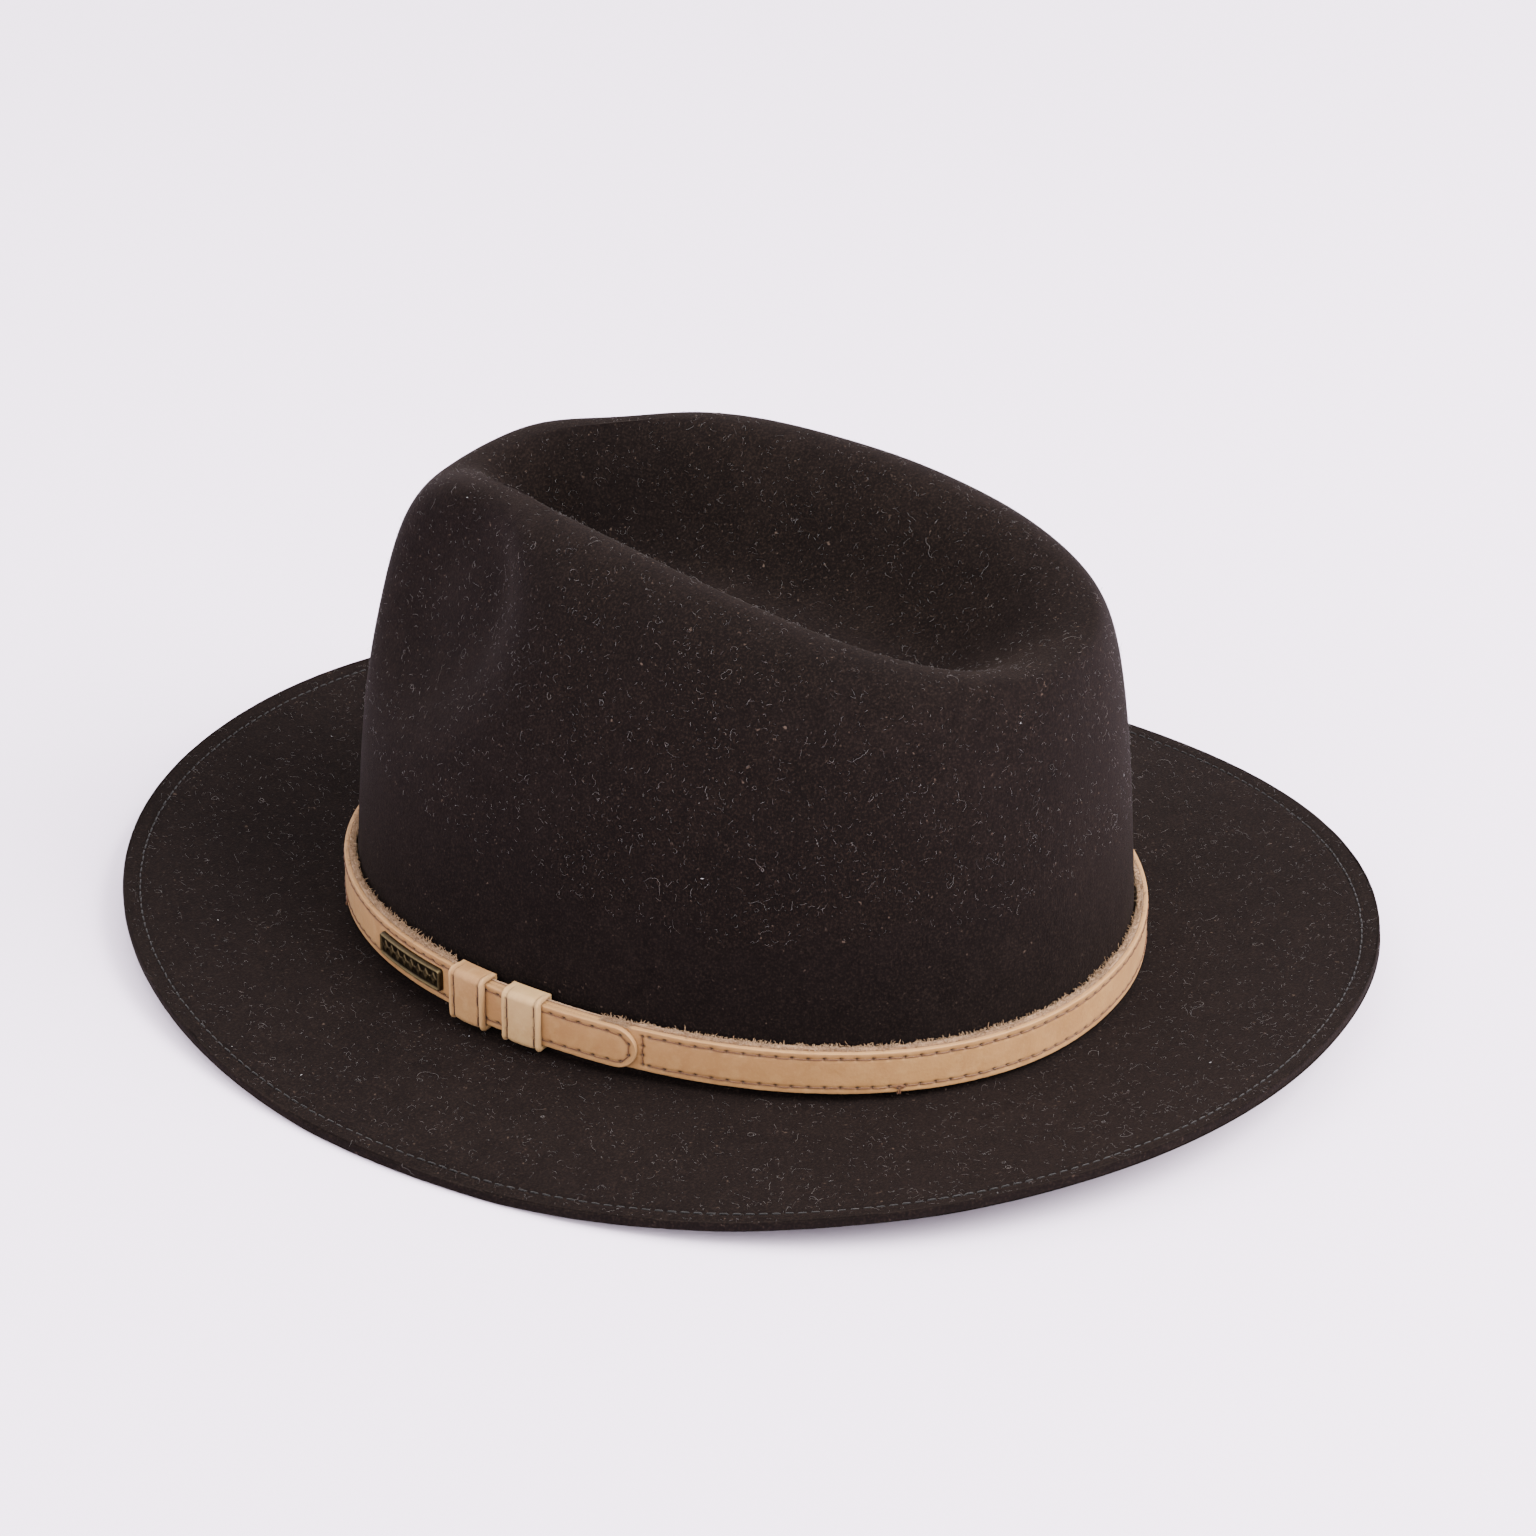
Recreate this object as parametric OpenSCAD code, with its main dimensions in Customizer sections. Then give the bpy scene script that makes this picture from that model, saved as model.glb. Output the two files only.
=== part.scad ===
// Teardrop-crown felt hat with a leather belt band.
// Millimetres. +Z up, front of the hat towards -Y, the wearer's left towards +X.
// The origin is under the middle of the brim, at the height that the brim rests on.
// Angles t run round the hat from the front (0) past the wearer's left (90) to the back (180).

/* [Head oval and brim] */
// Half length of the crown at its foot, outside the felt
head_a = 104; // [100:0.5:108]
// Half width of the crown at its foot, outside the felt
head_b = 86.6; // [83:0.1:90]
// Half length of the brim
brim_a = 166.6; // [158:0.1:172]
// Half width of the brim
brim_b = 147.4; // [140:0.1:152]
// Thickness of the felt
felt = 2.4; // [2:0.1:2.8]
// Rise of the brim at the front and back over the sides
brim_roll = 6.1; // [4:0.1:8]
// Extra rise of the back of the brim over the front
brim_tip = 2.4; // [0:0.1:4]
// Distance of the edge stitching from the brim's edge
edge_row = 4.6; // [3:0.1:7]

/* [Crown] */
// Height of the crown's ridge at the front
ridge_front = 117.5; // [110:0.5:122]
// Height of the crown's ridge at the back
ridge_back = 102.9; // [96:0.1:108]
// How far the ridge bows up between front and back
ridge_bow = 9.5; // [6:0.1:14]
// Half width of the teardrop ridge
ridge_w = 44.8; // [40:0.1:50]
// Depth of the teardrop dent under the ridge
dent = 30; // [22:0.5:34]
// Depth of each front pinch
pinch = 13; // [4:0.5:15]
// How far the ridge dips at the very front, between the pinches
saddle = 5; // [0:0.5:8]

/* [Belt band] */
// Height of the belt strap
band_h = 11.6; // [10:0.1:13]
// Thickness of the smooth leather face
face_t = 1.3; // [1:0.05:1.4]
// Height of the strap's lower edge over the rest, on average
band_z = 6.2; // [6:0.1:7]
// Width of each keeper loop along the strap
keeper_w = 11.5; // [9:0.1:12]
// Thickness of a keeper's front
keeper_t = 1.3; // [1:0.1:1.6]
// Length of the metal name plate
plate_w = 26.2; // [20:0.1:27]
// Height of the metal name plate
plate_h = 6.2; // [5:0.1:7]

/* [Inside] */
// Height of the leather sweatband
sweat_h = 40; // [34:1:44]
// Thickness of the sweatband leather
sweat_t = 1.1; // [0.9:0.1:1.3]
// Thickness of the lining cloth in this model
lining_t = 0.35; // [0.3:0.05:0.4]

/* [Hidden] */

n_t = 80;          // columns round the felt
n_in = 60;         // columns round the inner trim
n_cloth = 48;      // columns round the lining
head_n = 2.13;     // squareness of the head oval
brim_n = 2.06;     // squareness of the brim oval
head_y = -0.7;     // offsets of the two ovals
brim_y = 0;
ridge_yf = -79.4;  // front and back of the ridge
ridge_yr = 91.9;
dent_y = 9.7;      // middle of the dent
nose = 0.72;       // 1 gives a round nose, less gives a narrow one
fillet = 2;        // radius where the crown meets the brim
c_felt = "#3a2f2e";
c_tan = "#be936c";
c_suede = "#c9a684";
c_pale = "#cfae8b";
c_thread = "#5a3b26";
c_brass = "#6d6048";
c_sweat = "#6b4a34";
c_satin = "#4b3f3c";
c_dark = "#2b2422";

// ---- ovals and heights ----
function oval(t, a, b, n) = let(c = cos(t), s = sin(t),
    k = pow(pow(abs(c), n) + pow(abs(s), n), -1/n)) [b*k*s, -a*k*c];
function foot(t) = oval(t, head_a, head_b, head_n) + [0, head_y];
function brim(t) = oval(t, brim_a, brim_b, brim_n) + [0, brim_y];
function foot_z(t) = 3.9 - 1.1*cos(2*t);
function wave(t) = brim_roll*cos(2*t) - brim_tip*cos(t) - 0.76*cos(4*t);
wave_low = min([for (i = [0:1:360]) wave(i)]);
function brim_z(t) = max(wave(t) - wave_low - 0.5, 0) + felt;
function unit2(v) = v/norm(v);
// Outward direction of the head oval
function nrm(t) = let(d = foot(t + 0.5) - foot(t - 0.5)) unit2([d[1], -d[0]]);

// ---- ridge of the crown ----
function wrap(t) = abs(t - 360*round(t/360));
function front(t, w) = exp(-pow(wrap(t)/w, 2));
function ridge_f(u) = sqrt(u)*(nose + (1 - nose)*pow(u, 0.48))*pow(1 - u, 0.42);
ridge_fm = max([for (i = [0:1:100]) ridge_f(i/100)]);
function ridge_line(y) = let(u = (y - ridge_yf)/(ridge_yr - ridge_yf))
    ridge_front + (ridge_back - ridge_front)*u + ridge_bow*4*u*(1 - u)*(1 + 0.395*(1 - 2*u));
function ridge(t) = let(u = (1 - cos(t))/2, y = ridge_yf + (ridge_yr - ridge_yf)*u)
    [ridge_w*ridge_f(u)/ridge_fm*sign(sin(t)), y, ridge_line(y) - saddle*front(t, 28)];

// ---- the felt's outer surface ----
// u: 0 brim edge, 1 start of the fillet, 1.08 foot of the wall, 2 ridge, 3 middle of the dent
function wall_m(t) = 2.42 + 0.33*cos(2*t) + 0.09*front(t, 35);
function wall_k(t) = 0.17 - 0.11*cos(t) - 0.043*cos(2*t) - 0.157*cos(3*t) + 0.153*front(t, 35);
function lean(t, h) = let(m = wall_m(t), k = wall_k(t), s = pow(h, m/2))
    k*h + (1 - k)*(1 - pow(max(1 - s*s, 0), 1/m));
function pinch_at(t, h) = let(d = wrap(t) - 43)
    pinch*exp(-pow(norm([d/(d > 0 ? 21 : 19), (h - 0.79)/(h > 0.79 ? 0.2 : 0.25)]), 4));
function surf(t, u) =
    let(e2 = brim(t), k2 = foot(t), dv = e2 - k2, len = norm(dv), d = dv/len, kz = foot_z(t), g = ridge(t))
    u <= 1 ? let(w = 1 - u, q = k2 + d*(fillet + (len - fillet)*w)) [q[0], q[1], kz + (brim_z(t) - kz)*pow(w, 1.5)] :
    u < 1.08 ? let(f = (u - 1)/0.08*90, q = k2 + d*fillet*(1 - sin(f))) [q[0], q[1], kz + fillet*(1 - cos(f))] :
    u <= 2 ? let(h = pow(sin((u - 1.08)/0.92*90), 2/wall_m(t)), c = lean(t, h), p = pinch_at(t, h))
        [k2[0] + (g[0] - k2[0])*c - d[0]*p, k2[1] + (g[1] - k2[1])*c - d[1]*p, kz + fillet + (g[2] - kz - fillet)*h] :
    let(r = u - 2, cd = g[1] - dent_y, cs = min(max(-cd/60, 0), 1), cy = dent_y + cd*(0.35 + 0.37*cs*cs*(3 - 2*cs)),
        p = pinch_at(t, 1 + 0.35*r)*(1 - r), zf = ridge_line(cy) - dent)
        [g[0]*(1 - r) - d[0]*p, g[1] + (cy - g[1])*r - d[1]*p, g[2] + (zf - g[2])*(1 - pow(1 - r*r, 3.6))];
// The same surface moved inwards by depth
function inner(t, u, depth) = depth == 0 ? surf(t, u) :
    let(p = surf(t, u), a = surf(t + 0.4, u) - surf(t - 0.4, u),
        b = surf(t, min(u + 0.01, 2.97)) - surf(t, max(u - 0.01, 0)), c = cross(a, b))
    p - c/norm(c)*depth;
// A point on the crown's wall at height z, moved out by off
function wall_pt(t, z, off) = let(g = ridge(t), k = foot(t), z0 = foot_z(t) + fillet, h = max(0, (z - z0)/(g[2] - z0)),
    c = lean(t, h), n = nrm(t), q = h > 0 ? pinch_at(t, h) : 0, d = unit2(brim(t) - k))
    [k[0] + (g[0] - k[0])*c - d[0]*q + n[0]*off, k[1] + (g[1] - k[1])*c - d[1]*q + n[1]*off, z];

// ---- solids from rings of points ----
function flat(l) = [for (a = l) for (b = a) b];
function around(n) = [for (j = [0:n - 1]) 360*j/n];
function quads(m, n, wrap_m) = [for (k = [0:(wrap_m ? m - 1 : m - 2)]) for (j = [0:n - 1])
    let(a = k*n + j, b = k*n + (j + 1)%n, c = ((k + 1)%m)*n + (j + 1)%n, d = ((k + 1)%m)*n + j) each [[a, b, c], [a, c, d]]];
// A seam of triangles across a narrow end ring, from its front to its back
function seam(base, n, up) = [for (j = [0:n/2 - 1])
    let(a = base + j, b = base + j + 1, c = base + (n - j - 1)%n, d = base + (n - j)%n)
    each (j == 0 ? [up ? [a, b, c] : [a, c, b]] : j == n/2 - 1 ? [up ? [a, b, d] : [a, d, b]] :
        up ? [[a, b, c], [a, c, d]] : [[a, c, b], [a, d, c]])];
module closed_ring(r) { polyhedron(points = flat(r), faces = quads(len(r), len(r[0]), true), convexity = 12); }
module dish(r) { polyhedron(points = flat(r), faces = concat(quads(len(r), len(r[0]), false),
    seam(0, len(r[0]), false), seam((len(r) - 1)*len(r[0]), len(r[0]), true)), convexity = 12); }
// A strip along a path: each section is a loop of points
module strip(s) { m = len(s); n = len(s[0]);
    polyhedron(points = flat(s), faces = concat(quads(m, n, false),
        [[for (j = [n - 1:-1:0]) j]], [[for (j = [0:n - 1]) (m - 1)*n + j]]), convexity = 12); }

// ---- the belt strap, measured along its outer face from the front ----
function band_pt(t, off) = foot(t) + nrm(t)*off;
function band_low(t) = band_z - 1.65*cos(2*t);
back_out = 1.8;                    // outer face of the suede backing
face_out = back_out + face_t;      // outer face of the smooth leather
arc_t = [for (i = 0, s = 0; i <= 720; i = i + 1, s = s + norm(band_pt(i/2, face_out) - band_pt(i/2 - 0.5, face_out))) [s, i/2]];
ring_len = arc_t[720][0];
function t_at(s) = lookup(s - ring_len*floor(s/ring_len), arc_t);
end_s = 128.4;     // the strap's hidden end
tip_s = 178.8;     // the strap's pointed end, lying over it
plate_s = 106;     // middles of the plate and the keepers
keeper_f_s = 130;
keeper_r_s = 147.2;
function ramp(s, a, b) = let(x = min(max((s - a)/(b - a), 0), 1)) x*x*(3 - 2*x);
// Outer face of the strap: it steps out over its own hidden end
function step_out(s) = ramp(s, ring_len + 120.5, ring_len + 128)*(face_t + 0.05);
// The backing is pared thin where the keepers pass behind it
function pared(s) = 0.2 + 0.95*(ramp(s, 117, 123) - ramp(s, 176, 182) + ramp(s, ring_len + 117, ring_len + 123));
function tip_cut(s) = let(x = max(0, s - (ring_len + tip_s - 5.8))) 5.8*(1 - sqrt(max(0, 1 - pow(x/5.81, 2))));
path_s = concat([for (s = [end_s:4:190]) s], [for (s = [196:8:ring_len + 108]) s],
    [for (s = [ring_len + 114:3.6:ring_len + 170]) s], [for (x = [5.8, 4.4, 3, 1.8, 0.9, 0.3, 0]) ring_len + tip_s - x]);
function stretch(a, b) = [for (s = concat([a], [for (q = path_s) if (q > a + 1 && q < b - 1) q], [b])) s];
function strap_sec(s, o0, o1, z0, z1) = let(t = t_at(s), p0 = band_pt(t, o0), p1 = band_pt(t, o1), z = band_low(t))
    [[p0[0], p0[1], z + z0], [p1[0], p1[1], z + z0], [p1[0], p1[1], z + z1], [p0[0], p0[1], z + z1]];
// The circle that fits the strap over span either side of s, as its radius
function fit_span(s, w) = let(p = foot(t_at(s - w)), q = foot(t_at(s)), r = foot(t_at(s + w)),
    l1 = norm(q - p), l2 = norm(r - q), l3 = norm(r - p), ar = abs((q[0] - p[0])*(r[1] - p[1]) - (r[0] - p[0])*(q[1] - p[1]))/2)
    l1*l2*l3/(4*ar);
function slope(s) = atan((band_low(t_at(s + 4)) - band_low(t_at(s - 4)))/8);
// A frame on the strap: X outwards, Y along the strap, Z up
module on_strap(s) { t = t_at(s); p = foot(t); n = nrm(t);
    translate([p[0], p[1], band_low(t) + band_h/2]) rotate([0, 0, atan2(n[1], n[0])]) rotate([slope(s), 0, 0]) children(); }
// The same, carried from the middle m of a piece's travel along the circle of radius R
module on_travel(s, m, R) { on_strap(m) translate([-R, 0, 0]) rotate([0, 0, (s - m)/(R + face_out)*180/PI]) translate([R, 0, 0]) children(); }
module arc_slab(R, r0, r1, h, w) { a = w/(R + r1)*180/PI;
    translate([-R, 0, 0]) rotate([0, 0, -a/2]) rotate_extrude(angle = a, $fn = 96) translate([R + r0, -h/2]) square([r1 - r0, h]); }

// ---- sub-parts ----
felt_u = [2.96, 2.88, 2.74, 2.6, 2.48, 2.36, 2.24, 2.12, 2, 1.91, 1.82, 1.72, 1.62, 1.52, 1.42, 1.32, 1.2, 1.08, 1.04, 1, 0.7, 0.4, 0.2, edge_row/60, 0];
module felt_body() color(c_felt) dish(concat(
    [for (u = felt_u) [for (t = around(n_t)) surf(t, u)]],
    [for (i = [len(felt_u) - 1:-1:0]) [for (t = around(n_t)) let(u = felt_u[i])
        i == len(felt_u) - 1 ? surf(t, 0) - [0, 0, felt] : inner(t, u, felt)]]));

module row_on(u, n, side) closed_ring([for (k = [[-0.3, -0.02], [0.3, -0.02], [0.3, -0.26], [-0.3, -0.26]])
    [for (t = around(n)) let(d = side > 0 ? k[1] : felt - k[1]) inner(t, u + k[0]/60*side, d)]]);
module brim_edge_stitching() color(c_dark) { row_on(edge_row/60, n_t, 1); row_on(edge_row/60, n_t, -1); }

module band_face() color(c_tan) strip([for (s = path_s) let(o = back_out + step_out(s), c = tip_cut(s))
    strap_sec(s, o, o + face_t, min(c, 5.75), band_h - min(c, 5.75))]);
module band_backing() color(c_suede) strip([for (s = concat([for (q = path_s) if (q < ring_len + end_s - 3) q], [ring_len + end_s - 0.2]))
    strap_sec(s, pared(s), back_out - 0.02, 0.1, band_h + 0.3)]);

module thread_row(a, b, z) color(c_thread) strip([for (s = stretch(a, b)) let(o = back_out + step_out(s) + face_t)
    strap_sec(s, o + 0.01, o + 0.25, z - 0.3, z + 0.3)]);
module band_stitching_upper() thread_row(tip_s + 3, ring_len + tip_s - 5.8, band_h - 1.7);
module band_stitching_lower() thread_row(tip_s + 3, ring_len + tip_s - 5.8, 1.7);
// The row round the pointed end, and the short row across the strap beside it
module band_end_stitching() color(c_thread) {
    strip([for (a = [-90:15:90]) let(s = ring_len + tip_s - 5.8 + 4.1*cos(a), z = band_h/2 + 4.1*sin(a), o = back_out + step_out(s) + face_t,
        t = t_at(s), zz = band_low(t), ca = cos(a), sa = sin(a))
        [for (k = [[-0.3, 0.04], [0.3, 0.04], [0.3, 0.25], [-0.3, 0.25]])
            let(s2 = s + k[0]*ca, p = band_pt(t_at(s2), o + k[1])) [p[0], p[1], zz + z + k[0]*sa]]]);
    on_strap(tip_s + 2.2) translate([face_out + 0.02, -0.3, -4.1]) cube([0.25, 0.6, 8.2]);
}

// A keeper: a stitched leather loop round both layers of the strap
module keeper(s, m, w) { R = fit_span(m, w); color(c_pale) on_travel(s, m, R) {
    arc_slab(R, face_out + face_t + 0.4, face_out + face_t + 0.4 + keeper_t, band_h + 2.8, keeper_w);
    arc_slab(R, 0.3, 0.9, band_h + 2.8, keeper_w);
    for (k = [-1, 1]) translate([0, 0, k*(band_h/2 + 0.9)]) arc_slab(R, 0.5, face_out + face_t + 0.8, 1, keeper_w);
} }
module keeper_thread(s, m, w) { R = fit_span(m, w); color(c_thread) on_travel(s, m, R) for (k = [-1, 1])
    translate([-R, 0, 0]) rotate([0, 0, k*(keeper_w/2 - 1.6)/(R + 6)*180/PI]) translate([R, 0, 0])
        arc_slab(R, face_out + face_t + 0.41 + keeper_t, face_out + face_t + 0.65 + keeper_t, band_h + 0.6, 0.6); }
module keeper_front() keeper(keeper_f_s, keeper_f_s, 7);
module keeper_rear() keeper(keeper_r_s, ring_len/4, 13);
module keeper_front_stitching() keeper_thread(keeper_f_s, keeper_f_s, 7);
module keeper_rear_stitching() keeper_thread(keeper_r_s, ring_len/4, 13);

// The plate follows the strap's curve, with a raised rim and two prongs through the leather
module plate_outline(w, h, r) rotate([90, 0, 90]) linear_extrude(height = 12) union() {
    square([w - 2*r, h], center = true); square([w, h - 2*r], center = true);
    for (x = [-1, 1]) for (y = [-1, 1]) translate([x*(w/2 - r), y*(h/2 - r)]) circle(r = r, $fn = 32); }
module name_plate() { R = fit_span(plate_s, 10); color(c_brass) on_strap(plate_s) {
    intersection() { arc_slab(R, face_out + 0.03, face_out + 1, plate_h + 1, plate_w + 4); plate_outline(plate_w, plate_h, 0.9); }
    difference() {
        intersection() { arc_slab(R, face_out + 0.9, face_out + 1.45, plate_h + 1, plate_w + 4); plate_outline(plate_w, plate_h, 0.9); }
        plate_outline(plate_w - 1.8, plate_h - 1.8, 0.5); }
    for (m = [-1, 1]) translate([-R, 0, 0]) rotate([0, 0, m*9/(R + 3)*180/PI]) translate([R + 0.5, 0, 0])
        rotate([0, 90, 0]) cylinder(r = 0.6, h = face_out, $fn = 24);
} }

// Thread tacks under the strap's lower edge hold it to the crown
module band_tacks() color(c_thread) for (s = [244, ring_len/2 + 70, ring_len - 80, 60]) on_strap(s) translate([-1.2, 0, -band_h/2 - 0.55]) {
    rotate([0, 90, 0]) cylinder(r = 0.3, h = face_out + 1.6, $fn = 24);
    translate([face_out + 1.6, 0, 0.1]) sphere(r = 0.6, $fn = 24); }

// ---- inside ----
function in_z(t) = foot_z(t) - 2.2;
module inside_ring(sec, n) closed_ring([for (k = sec) [for (t = around(n)) wall_pt(t, in_z(t) + k[1], -k[0])]]);
sweat_o = felt + 0.85;
module sweatband() color(c_sweat) inside_ring([[sweat_o + 1.9, 0], [sweat_o + 1.9 + sweat_t, 0], [sweat_o + 1.9 + sweat_t, 3.4],
    [sweat_o + sweat_t, 9.2], [sweat_o + sweat_t, 24], [sweat_o + sweat_t, sweat_h],
    [sweat_o, sweat_h], [sweat_o, 24], [sweat_o, 9], [sweat_o + 1.9, 3.1]], 72);
module sweatband_reed() color("#d8d2c4") inside_ring([for (a = [0:60:300]) [sweat_o + 0.9 + 0.8*cos(a), 1.4 + 0.8*sin(a)]], n_in);
module sweatband_tape() color(c_dark) inside_ring([[felt + 0.25, 0.1], [felt + 0.55, 0.1], [felt + 0.55, 10], [felt + 0.25, 10]], n_in);
module sweatband_stitching() color("#8a6b50") inside_ring([for (k = [[0.1, 3.6], [0.44, 3.6], [0.44, 4.2], [0.1, 4.2]])
    [sweat_o + 1.9 + sweat_t + k[0] - (k[1] - 3.4)*0.3276, k[1]]], 72);
// Cross stitches close the sweatband's back seam
function back_y(z) = wall_pt(180, z, -(sweat_o + sweat_t))[1];
module sweatband_seam() color("#8a6b50") for (i = [0:3]) let(z = 26.5 + i*3.8) translate([0, back_y(z) - 0.35, z])
    rotate([atan((back_y(z + 1) - back_y(z - 1))/2)*-1, 0, 0]) for (m = [-1, 1]) rotate([0, m*45, 0]) cube([3.4, 0.4, 0.5], center = true);
module sweatband_bow() color(c_dark) translate([0, back_y(19.5) - 1.5, 19.5]) rotate([90, 0, 0]) linear_extrude(height = 1.1, center = true) {
    polygon([[-1, -1.4], [-9, -4], [-9, 4], [-1, 1.4], [1, 1.4], [9, 4], [9, -4], [1, -1.4]]);
    polygon([[-1, 0], [-4.5, -9.5], [-2, -9.5], [0.6, 0]]);
    polygon([[1, 0], [4.5, -9.5], [2, -9.5], [-0.6, 0]]); }
module size_label() color("#e6e0d2") strip([for (t = [197:3:212]) [for (k = [[0.37, 17], [0.15, 17], [0.15, 31], [0.37, 31]])
    wall_pt(t, in_z(t) + k[1], -(sweat_o + sweat_t + k[0]))]]);

// Satin lining: side wall, oval tip and the piping between them
wall_u = [1.868, 1.84, 1.76, 1.66, 1.54, 1.42, 1.31];
low_gap = 1.3;      // height of the cloth's lower edge above the sweatband's top
function low_u(t) = let(z0 = foot_z(t) + fillet, h = (in_z(t) + sweat_h + low_gap - z0)/(ridge(t)[2] - z0)) 1.08 + 0.92/90*asin(pow(h, wall_m(t)/2));
tip_u = [2.955, 2.85, 2.7, 2.55, 2.4, 2.26, 2.14, 2.04, 1.955];
lin0 = felt + 0.42;
ease = 1.8;        // how far the cloth stands off round each pinch
// The cloth eases off the felt where the pinches push in
function ease_at(t, h) = ease*exp(-pow(norm([(wrap(t) - 43)/31, (h - 0.79)/0.31]), 4)) + 0.15*pinch_at(t, h);
function eased(t, u, depth) = inner(t, u, depth + (u <= 2 ? ease_at(t, pow(sin((u - 1.08)/0.92*90), 2/wall_m(t))) : ease_at(t, 1 + 0.35*(u - 2))));
module lining_wall() color(c_satin) closed_ring(concat([for (u = wall_u) [for (t = around(n_cloth)) eased(t, u, lin0)]],
    [for (k = [0, lining_t]) [for (t = around(n_cloth)) eased(t, low_u(t), lin0 + k)]],
    [for (i = [len(wall_u) - 1:-1:0]) [for (t = around(n_cloth)) eased(t, wall_u[i], lin0 + lining_t)]]));
module lining_tip() color(c_satin) dish(concat([for (u = tip_u) [for (t = around(n_cloth)) eased(t, u, lin0)]],
    [for (i = [len(tip_u) - 1:-1:0]) [for (t = around(n_cloth)) eased(t, tip_u[i], lin0 + lining_t)]]));
module lining_piping() color(c_dark) closed_ring([for (k = [[1.95, 0.4], [1.905, 0.4], [1.905, 1.5], [1.95, 1.5]])
    [for (t = around(n_cloth)) eased(t, k[0], felt + k[1])]]);

felt_body();
brim_edge_stitching();
band_face();
band_backing();
band_stitching_upper();
band_stitching_lower();
band_end_stitching();
keeper_front();
keeper_front_stitching();
keeper_rear();
keeper_rear_stitching();
name_plate();
band_tacks();
sweatband();
sweatband_reed();
sweatband_tape();
sweatband_stitching();
sweatband_seam();
sweatband_bow();
size_label();
lining_wall();
lining_tip();
lining_piping();
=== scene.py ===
import bpy
import math
import numpy as np
from mathutils import Vector, Quaternion, Matrix


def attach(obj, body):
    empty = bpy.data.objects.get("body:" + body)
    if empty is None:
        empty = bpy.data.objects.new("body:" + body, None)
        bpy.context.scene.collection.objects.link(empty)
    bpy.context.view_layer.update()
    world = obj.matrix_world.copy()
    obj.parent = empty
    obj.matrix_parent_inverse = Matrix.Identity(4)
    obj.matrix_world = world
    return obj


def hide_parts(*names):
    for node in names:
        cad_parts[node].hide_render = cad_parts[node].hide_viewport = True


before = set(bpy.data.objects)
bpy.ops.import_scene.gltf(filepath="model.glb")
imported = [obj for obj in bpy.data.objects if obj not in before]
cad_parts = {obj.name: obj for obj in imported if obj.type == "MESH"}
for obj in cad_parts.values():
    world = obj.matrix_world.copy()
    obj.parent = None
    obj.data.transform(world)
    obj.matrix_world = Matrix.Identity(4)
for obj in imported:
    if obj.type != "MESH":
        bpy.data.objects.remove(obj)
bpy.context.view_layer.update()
rng = np.random.default_rng(11)
RAD = math.pi / 180

# ------------------------------------------------------------------ sizes, in millimetres, as in the CAD source
HEAD_A, HEAD_B, HEAD_N, HEAD_Y = 104.0, 86.6, 2.13, -0.7
BRIM_A, BRIM_B, BRIM_N, BRIM_Y = 166.6, 147.4, 2.06, 0.0
FELT, ROLL, TIP_RISE, EDGE_ROW, FILLET = 2.4, 6.1, 2.4, 4.6, 2.0
RIDGE_F, RIDGE_B, RIDGE_BOW, RIDGE_W = 117.5, 102.9, 9.5, 44.8
RIDGE_YF, RIDGE_YR, NOSE, DENT, PINCH, SADDLE = -79.4, 91.9, 0.72, 30.0, 13.0, 5.0
BAND_H, FACE_T, BAND_Z = 11.6, 1.3, 6.2
BACK_OUT = 1.8
FACE_OUT = BACK_OUT + FACE_T
END_S, TIP_S, PLATE_S, KEEPER_F, KEEPER_R = 128.4, 178.8, 106.0, 130.0, 147.2
KEEPER_W, KEEPER_T, PLATE_W, PLATE_H = 11.5, 1.3, 26.2, 6.2
SWEAT_H, SWEAT_T = 40.0, 1.1
SWEAT_O = FELT + 0.85


def oval(t, a, b, n):
    c, s = np.cos(t * RAD), np.sin(t * RAD)
    k = (np.abs(c) ** n + np.abs(s) ** n) ** (-1 / n)
    return np.stack([b * k * s, -a * k * c], -1)


def foot(t):
    return oval(t, HEAD_A, HEAD_B, HEAD_N) + np.array([0, HEAD_Y])


def brim(t):
    return oval(t, BRIM_A, BRIM_B, BRIM_N) + np.array([0, BRIM_Y])


def foot_z(t):
    return 3.9 - 1.1 * np.cos(2 * t * RAD)


def wave(t):
    return ROLL * np.cos(2 * t * RAD) - TIP_RISE * np.cos(t * RAD) - 0.76 * np.cos(4 * t * RAD)


WAVE_LOW = wave(np.arange(0, 361.0)).min()


def brim_z(t):
    return np.maximum(wave(t) - WAVE_LOW - 0.5, 0) + FELT


def unit(v):
    return v / np.maximum(np.linalg.norm(v, axis=-1, keepdims=True), 1e-12)


def nrm(t):
    d = foot(t + 0.5) - foot(t - 0.5)
    return unit(np.stack([d[..., 1], -d[..., 0]], -1))


def front(t, w):
    return np.exp(-((t - 360 * np.round(t / 360)) / w) ** 2)


def ridge_f(u):
    u = np.clip(u, 0, 1)
    return np.sqrt(u) * (NOSE + (1 - NOSE) * u ** 0.48) * (1 - u) ** 0.42


RIDGE_FM = ridge_f(np.linspace(0, 1, 101)).max()


def ridge_line(y):
    u = (y - RIDGE_YF) / (RIDGE_YR - RIDGE_YF)
    return RIDGE_F + (RIDGE_B - RIDGE_F) * u + RIDGE_BOW * 4 * u * (1 - u) * (1 + 0.395 * (1 - 2 * u))


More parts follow.
